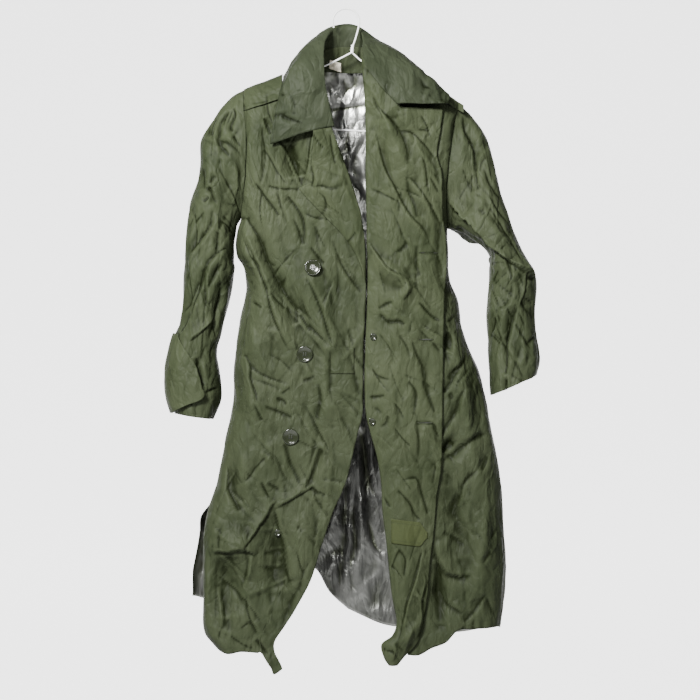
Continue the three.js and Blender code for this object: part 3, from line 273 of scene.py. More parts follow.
FACING_CREASES = creases(
    (6, -6, -.4, 51, -169, 11, -23, 25, -25, 15, -23, 8, -28, 2, -28),
    (6, 7, .7, 51, -231, 8, -31, 11, -40, 17, -34, 17, -34, 17, -26, 17, -17, 12, -24),
    (8, -6, -.3, 112, -316, 2, -26, 10, -25, 6, -26),
    (5, 5, .5, 113, -319, 17, -20, 17, -25, 14, -34, 3, -54),
    (5, -6, .4, 138, -274, 9, -28, 3, -34, 8, -28), (4, -5, .4, 153, -316, 11, -17, 7, -14),
    (6, -6, .3, 153, -364, 22, -40, 12, -26), (6, 9, .8, 36, -430, 23, -34, 20, -25, 31, -14),
    (6, 7, .7, 110, -503, 6, -20, -14, -19), (4, -5, .3, 96, -455, 17, 20),
    (6, -6, .3, 130, -441, -1, -34, 7, -25), (3, -2, .3, 36, -333, 37, -17, 31, -16),
    (4, -5, .4, 48, -163, 8, -23, 12, -25), (3, -2, .2, 129, -230, 24, 0),
    (3.5, -5, .5, 99, -231, 20, -3, 17, -14, 22, -26, 20, -34),
    (5, -7, .4, 61, -566, 17, -15, 19, 0, 12, -6), (4, -4, .3, 59, -558, 14, 9, 13, 4),
    (5, -7, -.4, 133, -547, 15, -17, 12, -11, 17, -8), (4, -4, .3, 160, -621, 11, -13, 11, -6),
    (6, -6, -.3, 120, -613, 6, -23, 11, -23, 4, -11, 4, -34, 9, -26, 9, -19),
    (6, -5, .3, 114, -691, 12, -15, 3, -17, -5, -32), (4, -4, .3, 35, -717, 17, -3, 19, 4),
    (5, -6, .4, 160, -772, 13, -26), (4, -3, .3, 39, -664, 20, -17, 21, -8),
    (10, -4, .2, 129, -747, 4, -53, -2, -42), (4, -3, .3, 63, -776, 10, 10, 3, 13),
    (4.5, -6, -.4, 104, -872, 24, 1, 8, -21, 8, -25, 5, -19),
    (4, -5, .3, 94, -890, 8, -8, 16, -19, 7, -16, 11, -13), (4, -6, .3, 66, -901, 16, -22),
    (6, 7, -.6, 142, -1006, -11, -45, -16, -48, -9, -41), (5, -4, .3, 96, -1000, 13, -19, -3, -32),
    (4, -6, .3, 128, -767, 32, -3, 16, -23), (5, 5, .5, 149, -1051, -12, -48, 7, -41),
    (4, -5, .4, 64, -1177, 13, -8, 16, -3), (5, 4, .4, 86, -1169, 4, -19, -4, -19))
BACK_CREASES = creases(
    (3, 5, .4, 3, -875, -2, -89, -12, -133), (8, -9, .5, 26, -812, 5, -115, 10, -66, 27, -36),
    (7, 8, .5, 33, -779, 8, -81, 13, -52), (6, 4, .4, -56, -1040, 26, 24, 26, 10),
    (8, -4, -.3, -50, -1053, 26, 17, 20, 17), (8, -4, .4, -15, -1090, 26, 45, 11, 37),
    (9, -4, .3, 7, -1104, 37, 33, 28, 24), (7, 5, -.4, 7, -940, 11, -46, -7, -48),
    (7, -7, .5, -2, -912, -18, -37, -17, -48), (7, 5, .4, 37, -949, 15, -46, 4, -56),
    (3.5, 3, .7, 4, -130, 1, -170, -2, -200, 1, -200, -2, -173), (4, 5, .9, 4, -873, -6, -87, -11, -140),
    (4, 4, -.9, 14, -880, -2, -100, -6, -130), (7, 5, .5, -150, -260, 30, -80, -10, -80),
    (7, 5, -.5, 150, -250, -32, -80, 10, -100), (7, -5, .5, -40, -200, 10, -100, -18, -120),
    (7, 4, .5, 40, -190, 20, -100, -10, -110), (7, 6, .5, -170, -520, 30, -100, -10, -120),
    (7, -6, .5, -100, -640, 20, -120, -16, -140), (7, 5, -.5, -40, -560, -16, -140, 12, -120),
    (7, 6, .5, 60, -540, 24, -120, -8, -140), (7, -6, .5, 150, -560, 30, -120, 16, -140),
    (7, 5, .5, 220, -700, 16, -140, -8, -140), (7, 6, -.5, -200, -820, -20, -110, 10, -110),
    (7, 5, .5, 110, -860, 30, -120, -4, -120), (7, 5, .5, -50, -900, -20, -100, 10, -60),
    (6, -5, .5, 20, -880, 10, -100, -6, -100), (6, 4, .4, -120, -150, 60, -30, 80, 4, 70, 10))
LAPEL_CREASES = creases(
    (4, -5, -.4, -63, -337, 19, 2, 20, -4, 31, 11), (5, -3, .3, -52, -343, 13, -13, 2, -18, -7, -10),
    (4, -4, .3, 2, -436, 16, 18), (4, -4, .3, -60, -239, 10, -15, 11, -11),
    (5, -6, .4, -29, -239, 5, -31, 5, -23), (4, -5, .3, -11, -260, 8, -20, 5, -11),
    (5, -4, .3, -65, -291, 5, -26, -3, -20), (6, 3, .3, -8, -301, 5, -31, 18, -37))
COLLAR_CREASES = creases(
    (4, -4, .3, -120, -204, 16, -6, 25, -8), (4, -4, .4, -56, -198, -3, -13, -6, -13),
    (4, -4, .3, -79, -147, 9, -7, 6, -11), (5, 3, .3, -109, -166, 9, -21, -4, -22),
    (7, 4, -.4, -92, -102, -12, -29, -13, -34), (7, 4, .4, -63, -76, -15, -41, -7, -40),
    (5, -5, .3, 70, -130, 8, -31, 14, -22), (4, -6, .4, 105, -150, 13, -16, 11, -15),
    (4, -4, .3, 133, -124, 11, -22, 11, -8), (4, 4, .4, 154, -155, -6, -13, -7, -11),
    (7, 5, .4, 48, -61, 37, -33, 30, -41), (6, -5, .3, 37, -76, 19, -33, 18, -33),
    (5, 4, -.4, 92, -83, 12, -26, 33, -22))
SLEEVE_RIGHT_CREASES = creases(
    (4, -8, -.4, -220, -193, -12, -18, -3, -20, 1, -24, 6, -6),
    (4, -7, .4, -208, -185, 4, -16, -8, -22, 4, -8), (3, -5, .4, -216, -191, -8, -14, -2, -17),
    (3, -4, .4, -211, -191, -5, -14, -4, -15), (5, -4, .4, -242, -205, -8, -19, 2, -15),
    (6, 8, -.8, -234, -244, 18, -4, 16, -14, 9, -10), (3, -6, .4, -230, -259, 8, -7, 8, -10),
    (3, -6, .4, -208, -240, 8, -10, 6, -10), (6, -8, .3, -253, -331, 5, -11, 10, -24),
    (4, -5, .3, -240, -312, -6, -10, -4, -10), (4, -5, .3, -252, -352, -10, -12),
    (8, -5, .3, -266, -298, 1, -22, 2, -19), (4, -6, .4, -244, -376, -4, -30, -17, -21, -11, -13),
    (4, -6, .4, -232, -416, -1, -19, -1, -18), (7, 5, .4, -204, -292, 4, -32, -9, -42),
    (5, -4, .3, -281, -385, 3, -37, -7, -28), (5, -5, .3, -252, -417, -23, -22, -14, -16),
    (4, -7, .4, -220, -446, -25, -20, -9, -14, -4, -27), (4, -7, .4, -260, -482, 1, -20, 4, -43, 7, -2),
    (6, -11, .5, -260, -487, -8, -33, -18, -41, -17, -40), (3.5, -6, .3, -270, -509, -16, -29, -16, -29),
    (4, -8, .4, -228, -475, -11, -23, -13, -22), (6, -9, .4, -229, -509, 3, -29, -10, -36, -3, -40),
    (4, 6, .9, -232, -565, -22, -25, -34, -28), (7, -9, .3, -274, -648, 9, -24, 6, -29),
    (3, -4, .3, -257, -712, 24, 10))
SLEEVE_LEFT_CREASES = creases(
    (6, -10, -.4, 216, -199, 4, -29, 17, -35, 2, -43), (4, -6, .3, 253, -298, 15, -31, 16, -24, 15, -39),
    (8, 17, -.9, 179, -353, 35, -31, 21, -16, 37, -42, 27, -28), (5, -6, .3, 205, -407, 28, -20, 39, -26),
    (7, 15, -.9, 281, -457, 18, -13, 27, -17, 29, -16), (4, 5, -.8, 303, -475, 4, -39, -2, -28),
    (4, 4, .7, 329, -475, 0, -39, -7, -28, -6, -13),
    (5, -12, .5, 314, -555, -12, -39, -8, -31, 0, -28, -2, -27), (4, -8, .4, 294, -686, -2, -30),
    (5, 4, .3, 260, -583, 24, 20, 23, 19), (5, -5, .3, 272, -453, -4, -21, -5, -27),
    (3.5, -5, .3, 329, -500, 19, -3), (4, -4, .3, 329, -536, 15, -12),
    (6, -7, .4, 239, -263, 0, -51, 5, -28), (5, -5, .3, 274, -366, 26, -32, 9, -29),
    (4, -4, .3, 329, -625, 21, 18), (5, -4, .3, 276, -570, -15, -46),
    (5, -4, .3, 215, -302, 11, -27, 22, -28), (5, 4, .3, 255, -385, 24, -31, 24, -24),
    (5, 3, .3, 313, -598, 16, -37, -7, -33))

# Finer creases strewn over each piece: how many, over which x0, x1, z0, z1, and their main direction and
# its spread in degrees from level
STREWN = dict(
    front_right=dict(seed=3, count=130, box=(-262, 34, -1200, -170), lie=-62, spread=28),
    front_left=dict(seed=5, count=60, box=(160, 298, -1180, -200), lie=-78, spread=26),
    facing_left=dict(seed=7, count=70, box=(36, 184, -1200, -110), lie=-66, spread=34),
    back=dict(seed=9, count=210, box=(-280, 296, -1150, -140), lie=-84, spread=40),
    collar=dict(seed=15, count=26, box=(-140, 190, -250, -50), lie=-50, spread=40),
    sleeve_right=dict(seed=11, count=100, box=(-330, -200, -750, -180), lie=-98, spread=24),
    sleeve_left=dict(seed=13, count=100, box=(196, 360, -720, -190), lie=-74, spread=30))
STREWN_LENGTH = (25, 130)
STREWN_BEND = .18
STREWN_RISE = (.8, 3.0)
STREWN_HALF = (3.0, 8.0)
STREWN_LEAN = (.2, .9)

# Creases: width of the steep side, share of the stated height, reach as a share of the half width,
# and straight steps between two points of a path
STEEPEST = 2.2
CREASE_RISE = .8
CREASE_REACH = 5
PATH_STEPS = 4
CREASE_ENDS = .6
FOLD_ENDS = (.04, .96)

# Crumple: size of the facets, height and seed, and their shape
CRUMPLE = ((56.0, 8.0, 21), (28.0, 2.0, 22), (14.0, .6, 23))
CRUMPLE_DRAWN = np.array((1.0, 1.0, .45))
FACET_MIDDLE = .3
FACET_FULL = .75

# Share of the crumple on each piece, and of the placed creases where they stand off more or less
CRUMPLED = dict(front=.6, facing=.5, lapel=.35, back=1.25, sleeve=.7, collar=.75, neck=.3, loop=.3, flap=.5)
LAPEL_CREASED = .8
COLLAR_CREASED = 1.8
SLEEVE_CREASED = 1.35

# How sharp a bend, and how deep a hollow, counts as full in the painted crease shade and ridge highlight, and
# rounds of softening for each use
CAVITY_FULL = .12
SUNK_FULL = 6.5
SUNK_SOFT, OUTWARD_SOFT, INWARD_SOFT = 36, 20, 30

# Grids: crowding of the columns toward the side, of the rows toward the shoulder
CROWD_SIDE = 1.3
CROWD_TOP = 1.3


def clamp(t, low=0.0, high=1.0):
    return np.clip(t, low, high)


def mix(a, b, t):
    return a + (b - a) * t


def smooth(t):
    s = clamp(t)
    return s * s * (3 - 2 * s)


def hermite(value_a, value_b, slope_a, slope_b, step, s):
    """A smooth value between two, at a share s of the step between them."""
    s2, s3 = s * s, s * s * s
    ends = value_a * (2 * s3 - 3 * s2 + 1) + value_b * (3 * s2 - 2 * s3)
    return ends + step * (slope_a * (s3 - 2 * s2 + s) + slope_b * (s3 - s2))


def through(rows, by, column):
    """A smooth value of one column, read at t along the column named by."""
    xs, ys = rows[by], rows[column]
    last = len(xs) - 1
    sign = 1 if xs[-1] > xs[0] else -1

    def read(t):
        t = np.asarray(t, float)
        i = np.clip(np.searchsorted(sign * xs, sign * t, side="left") - 1, 0, last - 1)
        before, after = np.maximum(i - 1, 0), np.minimum(i + 2, last)
        step = xs[i + 1] - xs[i]
        s = clamp((t - xs[i]) / step)
        slope_a = (ys[i + 1] - ys[before]) / (xs[i + 1] - xs[before])
        slope_b = (ys[after] - ys[i]) / (xs[after] - xs[i])
        return hermite(ys[i], ys[i + 1], slope_a, slope_b, step, s)
    return read


def by_row(rows, column):
    return through({"k": np.arange(len(rows[column]), dtype=float), "v": rows[column]}, "k", "v")


def fold_rise(folds, x, z):
    rise = np.zeros_like(x)
    for x0, z0, x1, z1, half, height in zip(*(folds[name] for name in FOLD_COLUMNS.split())):
        dx, dz = x1 - x0, z1 - z0
        t = ((x - x0) * dx + (z - z0) * dz) / (dx * dx + dz * dz)
        s = clamp(t)
        away = np.hypot(x - x0 - s * dx, z - z0 - s * dz) / half
        rise += height * np.exp(-away * away) * np.sqrt(np.sin(np.pi * clamp(t, *FOLD_ENDS)))
    return rise


def crease_rise(rows, x, z):
    """Height of creases at each place: sharp lines along paths, steep on one side and gentle on the other."""
    total = np.zeros_like(x)
    for path, half, rise, lean in rows:
        points = np.array(path, float)
        reach = half * CREASE_REACH
        near = ((x > points[:, 0].min() - reach) & (x < points[:, 0].max() + reach)
                & (z > points[:, 1].min() - reach) & (z < points[:, 1].max() + reach))
        if not near.any():
            continue
        px, pz = x[near], z[near]
        corners = {"k": np.arange(len(points), dtype=float), "x": points[:, 0], "z": points[:, 1]}
        k = np.linspace(0, len(points) - 1, (len(points) - 1) * PATH_STEPS + 1)
        cx, cz = through(corners, "k", "x")(k), through(corners, "k", "z")(k)
        best = np.full(px.shape, 1e9)
        side = np.zeros_like(px)
        along = np.zeros_like(px)
        for i in range(len(k) - 1):
            dx, dz = cx[i + 1] - cx[i], cz[i + 1] - cz[i]
            s = clamp(((px - cx[i]) * dx + (pz - cz[i]) * dz) / (dx * dx + dz * dz))
            ox, oz = px - cx[i] - s * dx, pz - cz[i] - s * dz
            away = np.hypot(ox, oz)
            closer = away < best
            best = np.where(closer, away, best)
            side = np.where(closer, np.sign(dx * oz - dz * ox) * away, side)
            along = np.where(closer, (i + s) / (len(k) - 1), along)
        steep, gentle = max(2 * half * (1 - abs(lean)), STEEPEST), half * (3 + 2 * abs(lean))
        wide = np.where(side * (1 if lean > 0 else -1) > 0, steep, gentle)
        ends = np.sin(np.pi * clamp(along)) ** CREASE_ENDS
        total[near] += CREASE_RISE * rise * clamp(1 - best / wide) ** 2 * ends
    return total


def strewn(name):
    """Seeded small creases, as rows like the listed ones."""
    spec = STREWN[name]
    pick = np.random.default_rng(spec["seed"])
    x0, x1, z0, z1 = spec["box"]
    rows = []
    for _ in range(spec["count"]):
        x, z = pick.uniform(x0, x1), pick.uniform(z0, z1)
        lie = math.radians(spec["lie"] + pick.normal(0, spec["spread"]))
        length = pick.uniform(*STREWN_LENGTH)
        bend = pick.uniform(-STREWN_BEND, STREWN_BEND) * length
        dx, dz = math.cos(lie) * length / 2, math.sin(lie) * length / 2
        path = ((x - dx, z - dz), (x - dz / length * bend, z + dx / length * bend), (x + dx, z + dz))
        rise = pick.choice((-1, -1, 1)) * pick.uniform(*STREWN_RISE)
        half = pick.uniform(*STREWN_HALF)
        rows.append((path, half, rise, pick.choice((-1, 1)) * pick.uniform(*STREWN_LEAN)))
    return rows


def scattered(cell, seed, channel):
    """A number from 0 to 1 for each cell, the same in every run."""
    mask = np.uint64(0xFFFFFFFF)
    x, y, z = np.moveaxis((cell + 100000).astype(np.uint64), -1, 0)
    h = (x * np.uint64(73856093)) ^ (y * np.uint64(19349663)) ^ (z * np.uint64(83492791))
    h = (h + np.uint64(seed * 7919 + channel * 104729)) & mask
    for _ in range(2):
        h = ((h ^ (h >> np.uint64(16))) * np.uint64(0x45D9F3B)) & mask
    return ((h ^ (h >> np.uint64(16))) & mask).astype(float) / 4294967295.0


def cell_edges(points, size, seed):
    """How far each point is from the nearest border between scattered cells, as a share of their size."""
    p = points / size
    base = np.floor(p).astype(np.int64)
    first = np.full(p.shape[:-1], 9.0)
    second = np.full(p.shape[:-1], 9.0)
    for dx in (-1, 0, 1):
        for dy in (-1, 0, 1):
            for dz in (-1, 0, 1):
                cell = base + np.array((dx, dy, dz))
                spot = np.stack([cell[..., c] + scattered(cell, seed, c) for c in range(3)], axis=-1)
                away = np.sqrt(((p - spot) ** 2).sum(axis=-1))
                second = np.minimum(second, np.maximum(first, away))
                first = np.minimum(first, away)
    return second - first


def crumple(points):
    """Height of the flat facets and sharp borders of crushed cloth at 3-D points."""
    height = np.zeros(points.shape[:-1])
    for size, rise, seed in CRUMPLE:
        edges = np.minimum(cell_edges(points * CRUMPLE_DRAWN, size, seed), FACET_FULL)
        height += rise * (edges - FACET_MIDDLE) * (1 if seed % 2 else -1)
    return height


# Forms of the body: over how far the armhole's shape fades out above the armpit, and the turn of its edge
ARMPIT_FADE = 60
ARMHOLE_CORNER = 20


def shoulder_slope(s):
    return (s["tipZ"] - s["neckZ"]) / (s["tipX"] - s["neckX"])


def shoulder_z(x):
    right = SHOULDER_RIGHT["neckZ"] + (x - SHOULDER_RIGHT["neckX"]) * shoulder_slope(SHOULDER_RIGHT)
    left = SHOULDER_LEFT["neckZ"] + (x - SHOULDER_LEFT["neckX"]) * shoulder_slope(SHOULDER_LEFT)
    return np.minimum(right, left)


def shoulder_spread(x, z):
    drop = clamp((shoulder_z(x) - z) / SHOULDER_DROP)
    return np.sqrt(1 - (1 - drop) ** 2)


def side_of(rows, hole, toward_front):
    """Edge of a panel at a height: x, y and the width of its rounded corner."""
    x, y, corner = (through(rows, "z", name) for name in ("x", "y", "corner"))

    def read(z):
        e = clamp((2 * z - hole["topZ"] - hole["pitZ"]) / (hole["topZ"] - hole["pitZ"]), -1, 1)
        hole_x = mix(hole["pitX"], hole["topX"], (1 + e) / 2) + hole["bow"] * (1 - e * e)
        hole_y = toward_front * hole["depth"] * (1 - np.abs(e) ** OVAL) ** (1 / OVAL)
        above = z > hole["pitZ"]
        near = smooth((z - hole["pitZ"]) / ARMPIT_FADE)
        return (np.where(above, hole_x, x(z)), np.where(above, hole_y, y(z)),
                np.where(above, mix(corner(z), ARMHOLE_CORNER, near), corner(z)))
    return read


def panel_depth(side, flat_y, folds, rows):
    front = -1 if flat_y < 0 else 1

    def read(x, z):
        x, z = np.broadcast_arrays(np.asarray(x, float), np.asarray(z, float))
        edge_x, edge_y, corner = side(z)
        in_from = clamp(np.abs(x - edge_x) / corner)
        round_in = np.sqrt(1 - (1 - in_from) ** 2)
        spread = shoulder_spread(x, z)
        rise = fold_rise(folds, x, z) + crease_rise(rows, x, z)
        return mix(edge_y, flat_y * spread, round_in) + front * rise * smooth(in_from * 1.5) * smooth(spread)
    return read


right_side = side_of(RIGHT_SIDE, ARMHOLE_RIGHT, -1)
left_side = side_of(LEFT_SIDE, ARMHOLE_LEFT, -1)
back_right_side = side_of(BACK_RIGHT_SIDE, ARMHOLE_RIGHT, 1)
back_left_side = side_of(LEFT_SIDE, ARMHOLE_LEFT, 1)
right_y = panel_depth(right_side, -FRONT_DEPTH, RIGHT_FOLDS, RIGHT_CREASES + strewn("front_right"))
left_y = panel_depth(left_side, -FRONT_DEPTH, LEFT_FOLDS, LEFT_CREASES + strewn("front_left"))
back_creases = BACK_CREASES + strewn("back")
back_right_y = panel_depth(back_right_side, BACK_DEPTH, BACK_FOLDS, back_creases)
back_left_y = panel_depth(back_left_side, BACK_DEPTH, BACK_FOLDS, back_creases)


def grid(across, down):
    return np.meshgrid(np.linspace(0, 1, across + 1), np.linspace(0, 1, down + 1))


def panel(across, down, side, edge_x, top_z, hem_z, depth_at):
    """Points of a panel between its side and its inner edge, from the shoulder or neckline to the hem."""
    u, v = grid(across, down)
    share = u ** CROWD_SIDE
    z = mix(top_z(share), hem_z(share), v ** CROWD_TOP)
    x = mix(side(z)[0], edge_x(z), share)
    y = depth_at(x, z)
    at_shoulder = (v == 0) & (shoulder_z(x) - z < 1)
    return np.stack([x, np.where(at_shoulder, 0, y), z], axis=-1)


def right_front():
    edge, hem = through(RIGHT_EDGE, "z", "x"), through(RIGHT_HEM, "u", "z")
    top = lambda s: mix(SHOULDER_RIGHT["tipZ"], SHOULDER_RIGHT["neckZ"], s) - SEAM_GAP
    return panel(100, 420, right_side, edge, top, hem, right_y)


def left_front():
    edge, hem = through(ROLL_LINE, "z", "x"), through(LEFT_HEM, "u", "z")
    tip, neck = SHOULDER_LEFT["tipX"], SHOULDER_LEFT["neckX"]
    neck_share = (tip - neck) / (tip - ROLL_LINE["x"][0])
    outer = lambda s: mix(SHOULDER_LEFT["tipZ"], SHOULDER_LEFT["neckZ"], np.minimum(s / neck_share, 1))
    top = lambda s: outer(s) - SEAM_GAP
    return panel(76, 340, left_side, edge, top, hem, left_y)


def back_half(side, shoulder, hem_rows, depth_at):
    shoulder_share = (shoulder["tipX"] - shoulder["neckX"]) / (shoulder["tipX"] - CENTRE_SEAM_X)
    seam = lambda z: np.full_like(z, CENTRE_SEAM_X)

    def top(s):
        neck = mix(shoulder["neckZ"], BACK_NECK_Z, smooth((s - shoulder_share) / (1 - shoulder_share)))
        outer = mix(shoulder["tipZ"], shoulder["neckZ"], s / shoulder_share)
        return np.where(s < shoulder_share, outer, neck) - SEAM_GAP
    return panel(72, 250, side, seam, top, through(hem_rows, "u", "z"), depth_at)


facing_fold, facing_edge = through(FACING, "z", "fold"), through(FACING, "z", "edge")
left_gorge = through(LEFT_GORGE, "u", "z")
roll_x = through(ROLL_LINE, "z", "x")
facing_creases = FACING_CREASES + strewn("facing_left")


def lowest_near(depth_at, x, z, reach):
    """The farthest forward depth of a panel round each place."""
    steps = (-reach, 0, reach)
    return np.minimum.reduce([depth_at(x + dx, z + dz) for dx in steps for dz in steps])


def facing_grid():
    u, v = grid(58, 400)
    z = mix(left_gorge(u), FACING_BOTTOM, v ** FACING_CROWD)
    x = mix(facing_fold(z), facing_edge(z), u)
    belly = FACING_NEAR + FACING_BELLY * np.sin(np.pi * u ** .7) + FACING_EDGE_OUT * u
    rise = fold_rise(FACING_FOLDS, x, z) + crease_rise(facing_creases, x, z)
    inside = np.maximum(x, roll_x(z) + ROLL_CLEAR)
    below = np.minimum(lowest_near(left_y, inside, z, 4), FACING_FLAT_Y)
    y = below - belly - rise * smooth(u * 8) * smooth((1 - u) * 8)
    return np.stack([x, y, z], axis=-1)


def lapel_grid():
    u, v = grid(48, 90)
    k = v * (len(LAPEL["turn"]) - 1)
    turn_z = by_row(LAPEL, "turn")(k)
    x = mix(through(RIGHT_EDGE, "z", "x")(turn_z), by_row(LAPEL, "x")(k), u)
    z = mix(turn_z, by_row(LAPEL, "z")(k), u)
    belly = LAPEL_NEAR + LAPEL_BELLY * np.sin(np.pi * u ** .8) * (1 - .6 * v) + LAPEL_EDGE_OUT * u
    y = lowest_near(right_y, x - 2, z, 3) - belly
    at_top = np.exp(-(v / LAPEL_TOP_SHARE) ** 2)
    return np.stack([x, mix(y, LAPEL_TOP_Y - LAPEL_TOP_TIP * u, at_top), z], axis=-1)


def collar_line(name, k):
    """Points of one of the collar's four lines at rows k of its table."""
    return np.stack([by_row(COLLAR, f"{name}{part}")(k) for part in range(3)], axis=-1)


def collar_grid():
    u, v = grid(170, 40)
    k = u * (len(COLLAR["seam0"]) - 1)
    lines = [collar_line(name, k) for name, _ in COLLAR_STATIONS]
    marks = [mark for _, mark in COLLAR_STATIONS]
    b = v[..., None]
    points = np.zeros(lines[0].shape)
    for i in range(3):
        low, high, step = max(i - 1, 0), min(i + 2, 3), marks[i + 1] - marks[i]
        slope_a = (lines[i + 1] - lines[low]) / (marks[i + 1] - marks[low])
        slope_b = (lines[high] - lines[i]) / (marks[high] - marks[i])
        here = hermite(lines[i], lines[i + 1], slope_a, slope_b, step, clamp((b - marks[i]) / step))
        points = np.where((b >= marks[i]) & (b <= marks[i + 1]), here, points)
    return points


def sleeve_section(rows, k, degrees):
    """x, y, z round a sleeve at rows k of its table, the share from inner to outer line, and the row read."""
    read = {name: by_row(rows, name)(k) for name in rows}
    turn = np.radians(degrees)
    squared = lambda value: np.sign(value) * np.abs(value) ** (2 / OVAL)
    e = squared(np.cos(turn))
    x = mix(read["inX"], read["outX"], (1 + e) / 2)
    z = mix(read["inZ"], read["outZ"], (1 + e) / 2)
    return x, read["y"] - read["depth"] * squared(np.sin(turn)), z, e, read


def sleeve_grid(rows):
    u, v = grid(150, 190)
    x, y, z, e, read = sleeve_section(rows, v * (len(rows["outX"]) - 1), -90 + 360 * u)
    return np.stack([x + read["bow"] * (1 - e * e), y, z], axis=-1)


def normals(points, closed=False):
    du, dv = np.gradient(points, axis=1), np.gradient(points, axis=0)
    if closed:
        du[:, 0] = du[:, -1] = points[:, 1] - points[:, -2]
    n = np.cross(du, dv)
    return n / np.maximum(np.linalg.norm(n, axis=-1, keepdims=True), 1e-9)


# Meshes
def new_object(name, mesh, materials):
    piece = bpy.data.objects.new(name, mesh)
    bpy.context.collection.objects.link(piece)
    for material in materials:
        mesh.materials.append(material)
    return piece


def quads_mesh(name, points, quads, kinds, flat):
    mesh = bpy.data.meshes.new(name)
    mesh.vertices.add(len(points))
    mesh.vertices.foreach_set("co", (points * MM).astype(np.float32).ravel())
    mesh.loops.add(quads.size)
    mesh.loops.foreach_set("vertex_index", quads.astype(np.int32).ravel())
    mesh.polygons.add(len(quads))
    mesh.polygons.foreach_set("loop_start", np.arange(0, quads.size, 4, dtype=np.int32))
    mesh.polygons.foreach_set("material_index", kinds.astype(np.int32))
    mesh.polygons.foreach_set("use_smooth", ~flat)
    mesh.update(calc_edges=True)
    return mesh


def edge_distances(points, edges):
    """Distance of each point from the nearest named edge of its grid, and its place along that edge."""
    step_u = np.linalg.norm(np.diff(points, axis=1), axis=-1)
    step_v = np.linalg.norm(np.diff(points, axis=0), axis=-1)
    along_u = np.concatenate([np.zeros((points.shape[0], 1)), np.cumsum(step_u, axis=1)], axis=1)
    along_v = np.concatenate([np.zeros((1, points.shape[1])), np.cumsum(step_v, axis=0)], axis=0)
    choices = {"start": (along_u, along_v), "end": (along_u[:, -1:] - along_u, along_v),
               "top": (along_v, along_u), "bottom": (along_v[-1:] - along_v, along_u)}
    best, run = np.full(points.shape[:2], 500.0), np.zeros(points.shape[:2])
    for name in edges:
        away, place = choices[name]
        run = np.where(away < best, place, run)
        best = np.minimum(best, away)
    return best, run


def around(values):
    """The mean of the four neighbours of each point of a grid."""
    padded = np.pad(values, ((1, 1), (1, 1)) + ((0, 0),) * (values.ndim - 2), mode="edge")
    return (padded[:-2, 1:-1] + padded[2:, 1:-1] + padded[1:-1, :-2] + padded[1:-1, 2:]) / 4


def softened(values, times):
    """Values of a grid, each averaged with its neighbours a number of times."""
    for _ in range(times):
        values = around(values)
    return values


def cavity(points, n):
    """How sharply the cloth folds inward at each point, and how deep it lies, from -1 to 1."""
    across, down = np.gradient(points, axis=1), np.gradient(points, axis=0)
    bend = np.zeros(points.shape[:2])
    for axis, step in ((1, across), (0, down)):
        second = np.gradient(np.gradient(points, axis=axis), axis=axis)
        bend += (second * n).sum(axis=-1) / np.maximum((step ** 2).sum(axis=-1), .5)
    sunk = ((softened(points, SUNK_SOFT) - points) * n).sum(axis=-1)
    return clamp(bend / CAVITY_FULL + sunk / SUNK_FULL, -1, 1)


def cells(index):
    """The four corners of each cell of a grid of point numbers."""
    return index[:-1, :-1], index[:-1, 1:], index[1:, 1:], index[1:, :-1]


SURFACES = {}


def cloth(name, points, turn, outer, inner, relief=0.0, closed=False, thick=CLOTH, stitched=()):
    """A thin closed shell on a grid of outer points, moved out by relief first.
    turn is 1 where going across and then down turns toward the outer side, and -1 where away from it."""
    if np.ndim(relief):
        points = points + softened(normals(points, closed), OUTWARD_SOFT) * (turn * relief)[..., None]
    SURFACES[name] = points
    n = normals(points, closed) * turn
    count = points.shape[0] * points.shape[1]
    index = np.arange(count).reshape(points.shape[:2])
    if closed:
        index[:, -1] = index[:, 0]
    a, b, c, d = cells(index)
    front = np.stack([a, b, c, d], axis=-1).reshape(-1, 4)
    behind = count + np.stack([a, d, c, b], axis=-1).reshape(-1, 4)
    rim = lambda near, far: np.stack([near, far, count + far, count + near], axis=-1)
    rims = [rim(index[0, 1:], index[0, :-1]), rim(index[-1, :-1], index[-1, 1:])]
    if not closed:
        rims += [rim(index[:-1, 0], index[1:, 0]), rim(index[1:, -1], index[:-1, -1])]
    rims = np.concatenate(rims)
    quads = np.concatenate([front, behind, rims])
    kinds = np.repeat((0, 1, 0), (len(front), len(behind), len(rims)))
    flat = np.repeat((False, True), (len(front) + len(behind), len(rims)))
    if turn < 0:
        quads = quads[:, ::-1]
    inward = softened(n, INWARD_SOFT)
    inward /= np.linalg.norm(inward, axis=-1, keepdims=True)
    both = np.concatenate([points.reshape(-1, 3), (points - inward * thick).reshape(-1, 3)])
    hem, run = edge_distances(points, stitched)
    hem, run = np.tile(hem.ravel(), 2), np.tile(run.ravel(), 2)
    # The bend attribute drives the materials' painted crease shade and painted ridge highlight
    bend = cavity(points, n).ravel()
    bend = np.concatenate([bend, -bend])
    if closed:
        used = np.unique(quads)
        renumber = np.zeros(2 * count, int)
        renumber[used] = np.arange(len(used))
        quads, both, hem, run, bend = renumber[quads], both[used], hem[used], run[used], bend[used]
    mesh = quads_mesh(name, both, quads, kinds, flat)
    for label, values in (("hem", hem * MM), ("run", run * MM), ("bend", bend)):
        mesh.attributes.new(label, "FLOAT", "POINT").data.foreach_set("value", values.astype(np.float32))
    return new_object(name, mesh, (outer, inner))


def tree_of(name):
    points = SURFACES[name] * MM
    quads = np.stack(cells(np.arange(points.shape[0] * points.shape[1]).reshape(points.shape[:2])), axis=-1)
    return BVHTree.FromPolygons(points.reshape(-1, 3).tolist(), quads.reshape(-1, 4).tolist())


def seat(tree, x, z):
    """Depth of the cloth at a place, in millimetres."""
    hit = tree.ray_cast(Vector((x * MM, -.5, z * MM)), Vector((0, 1, 0)))[0]
    return None if hit is None else hit.y / MM


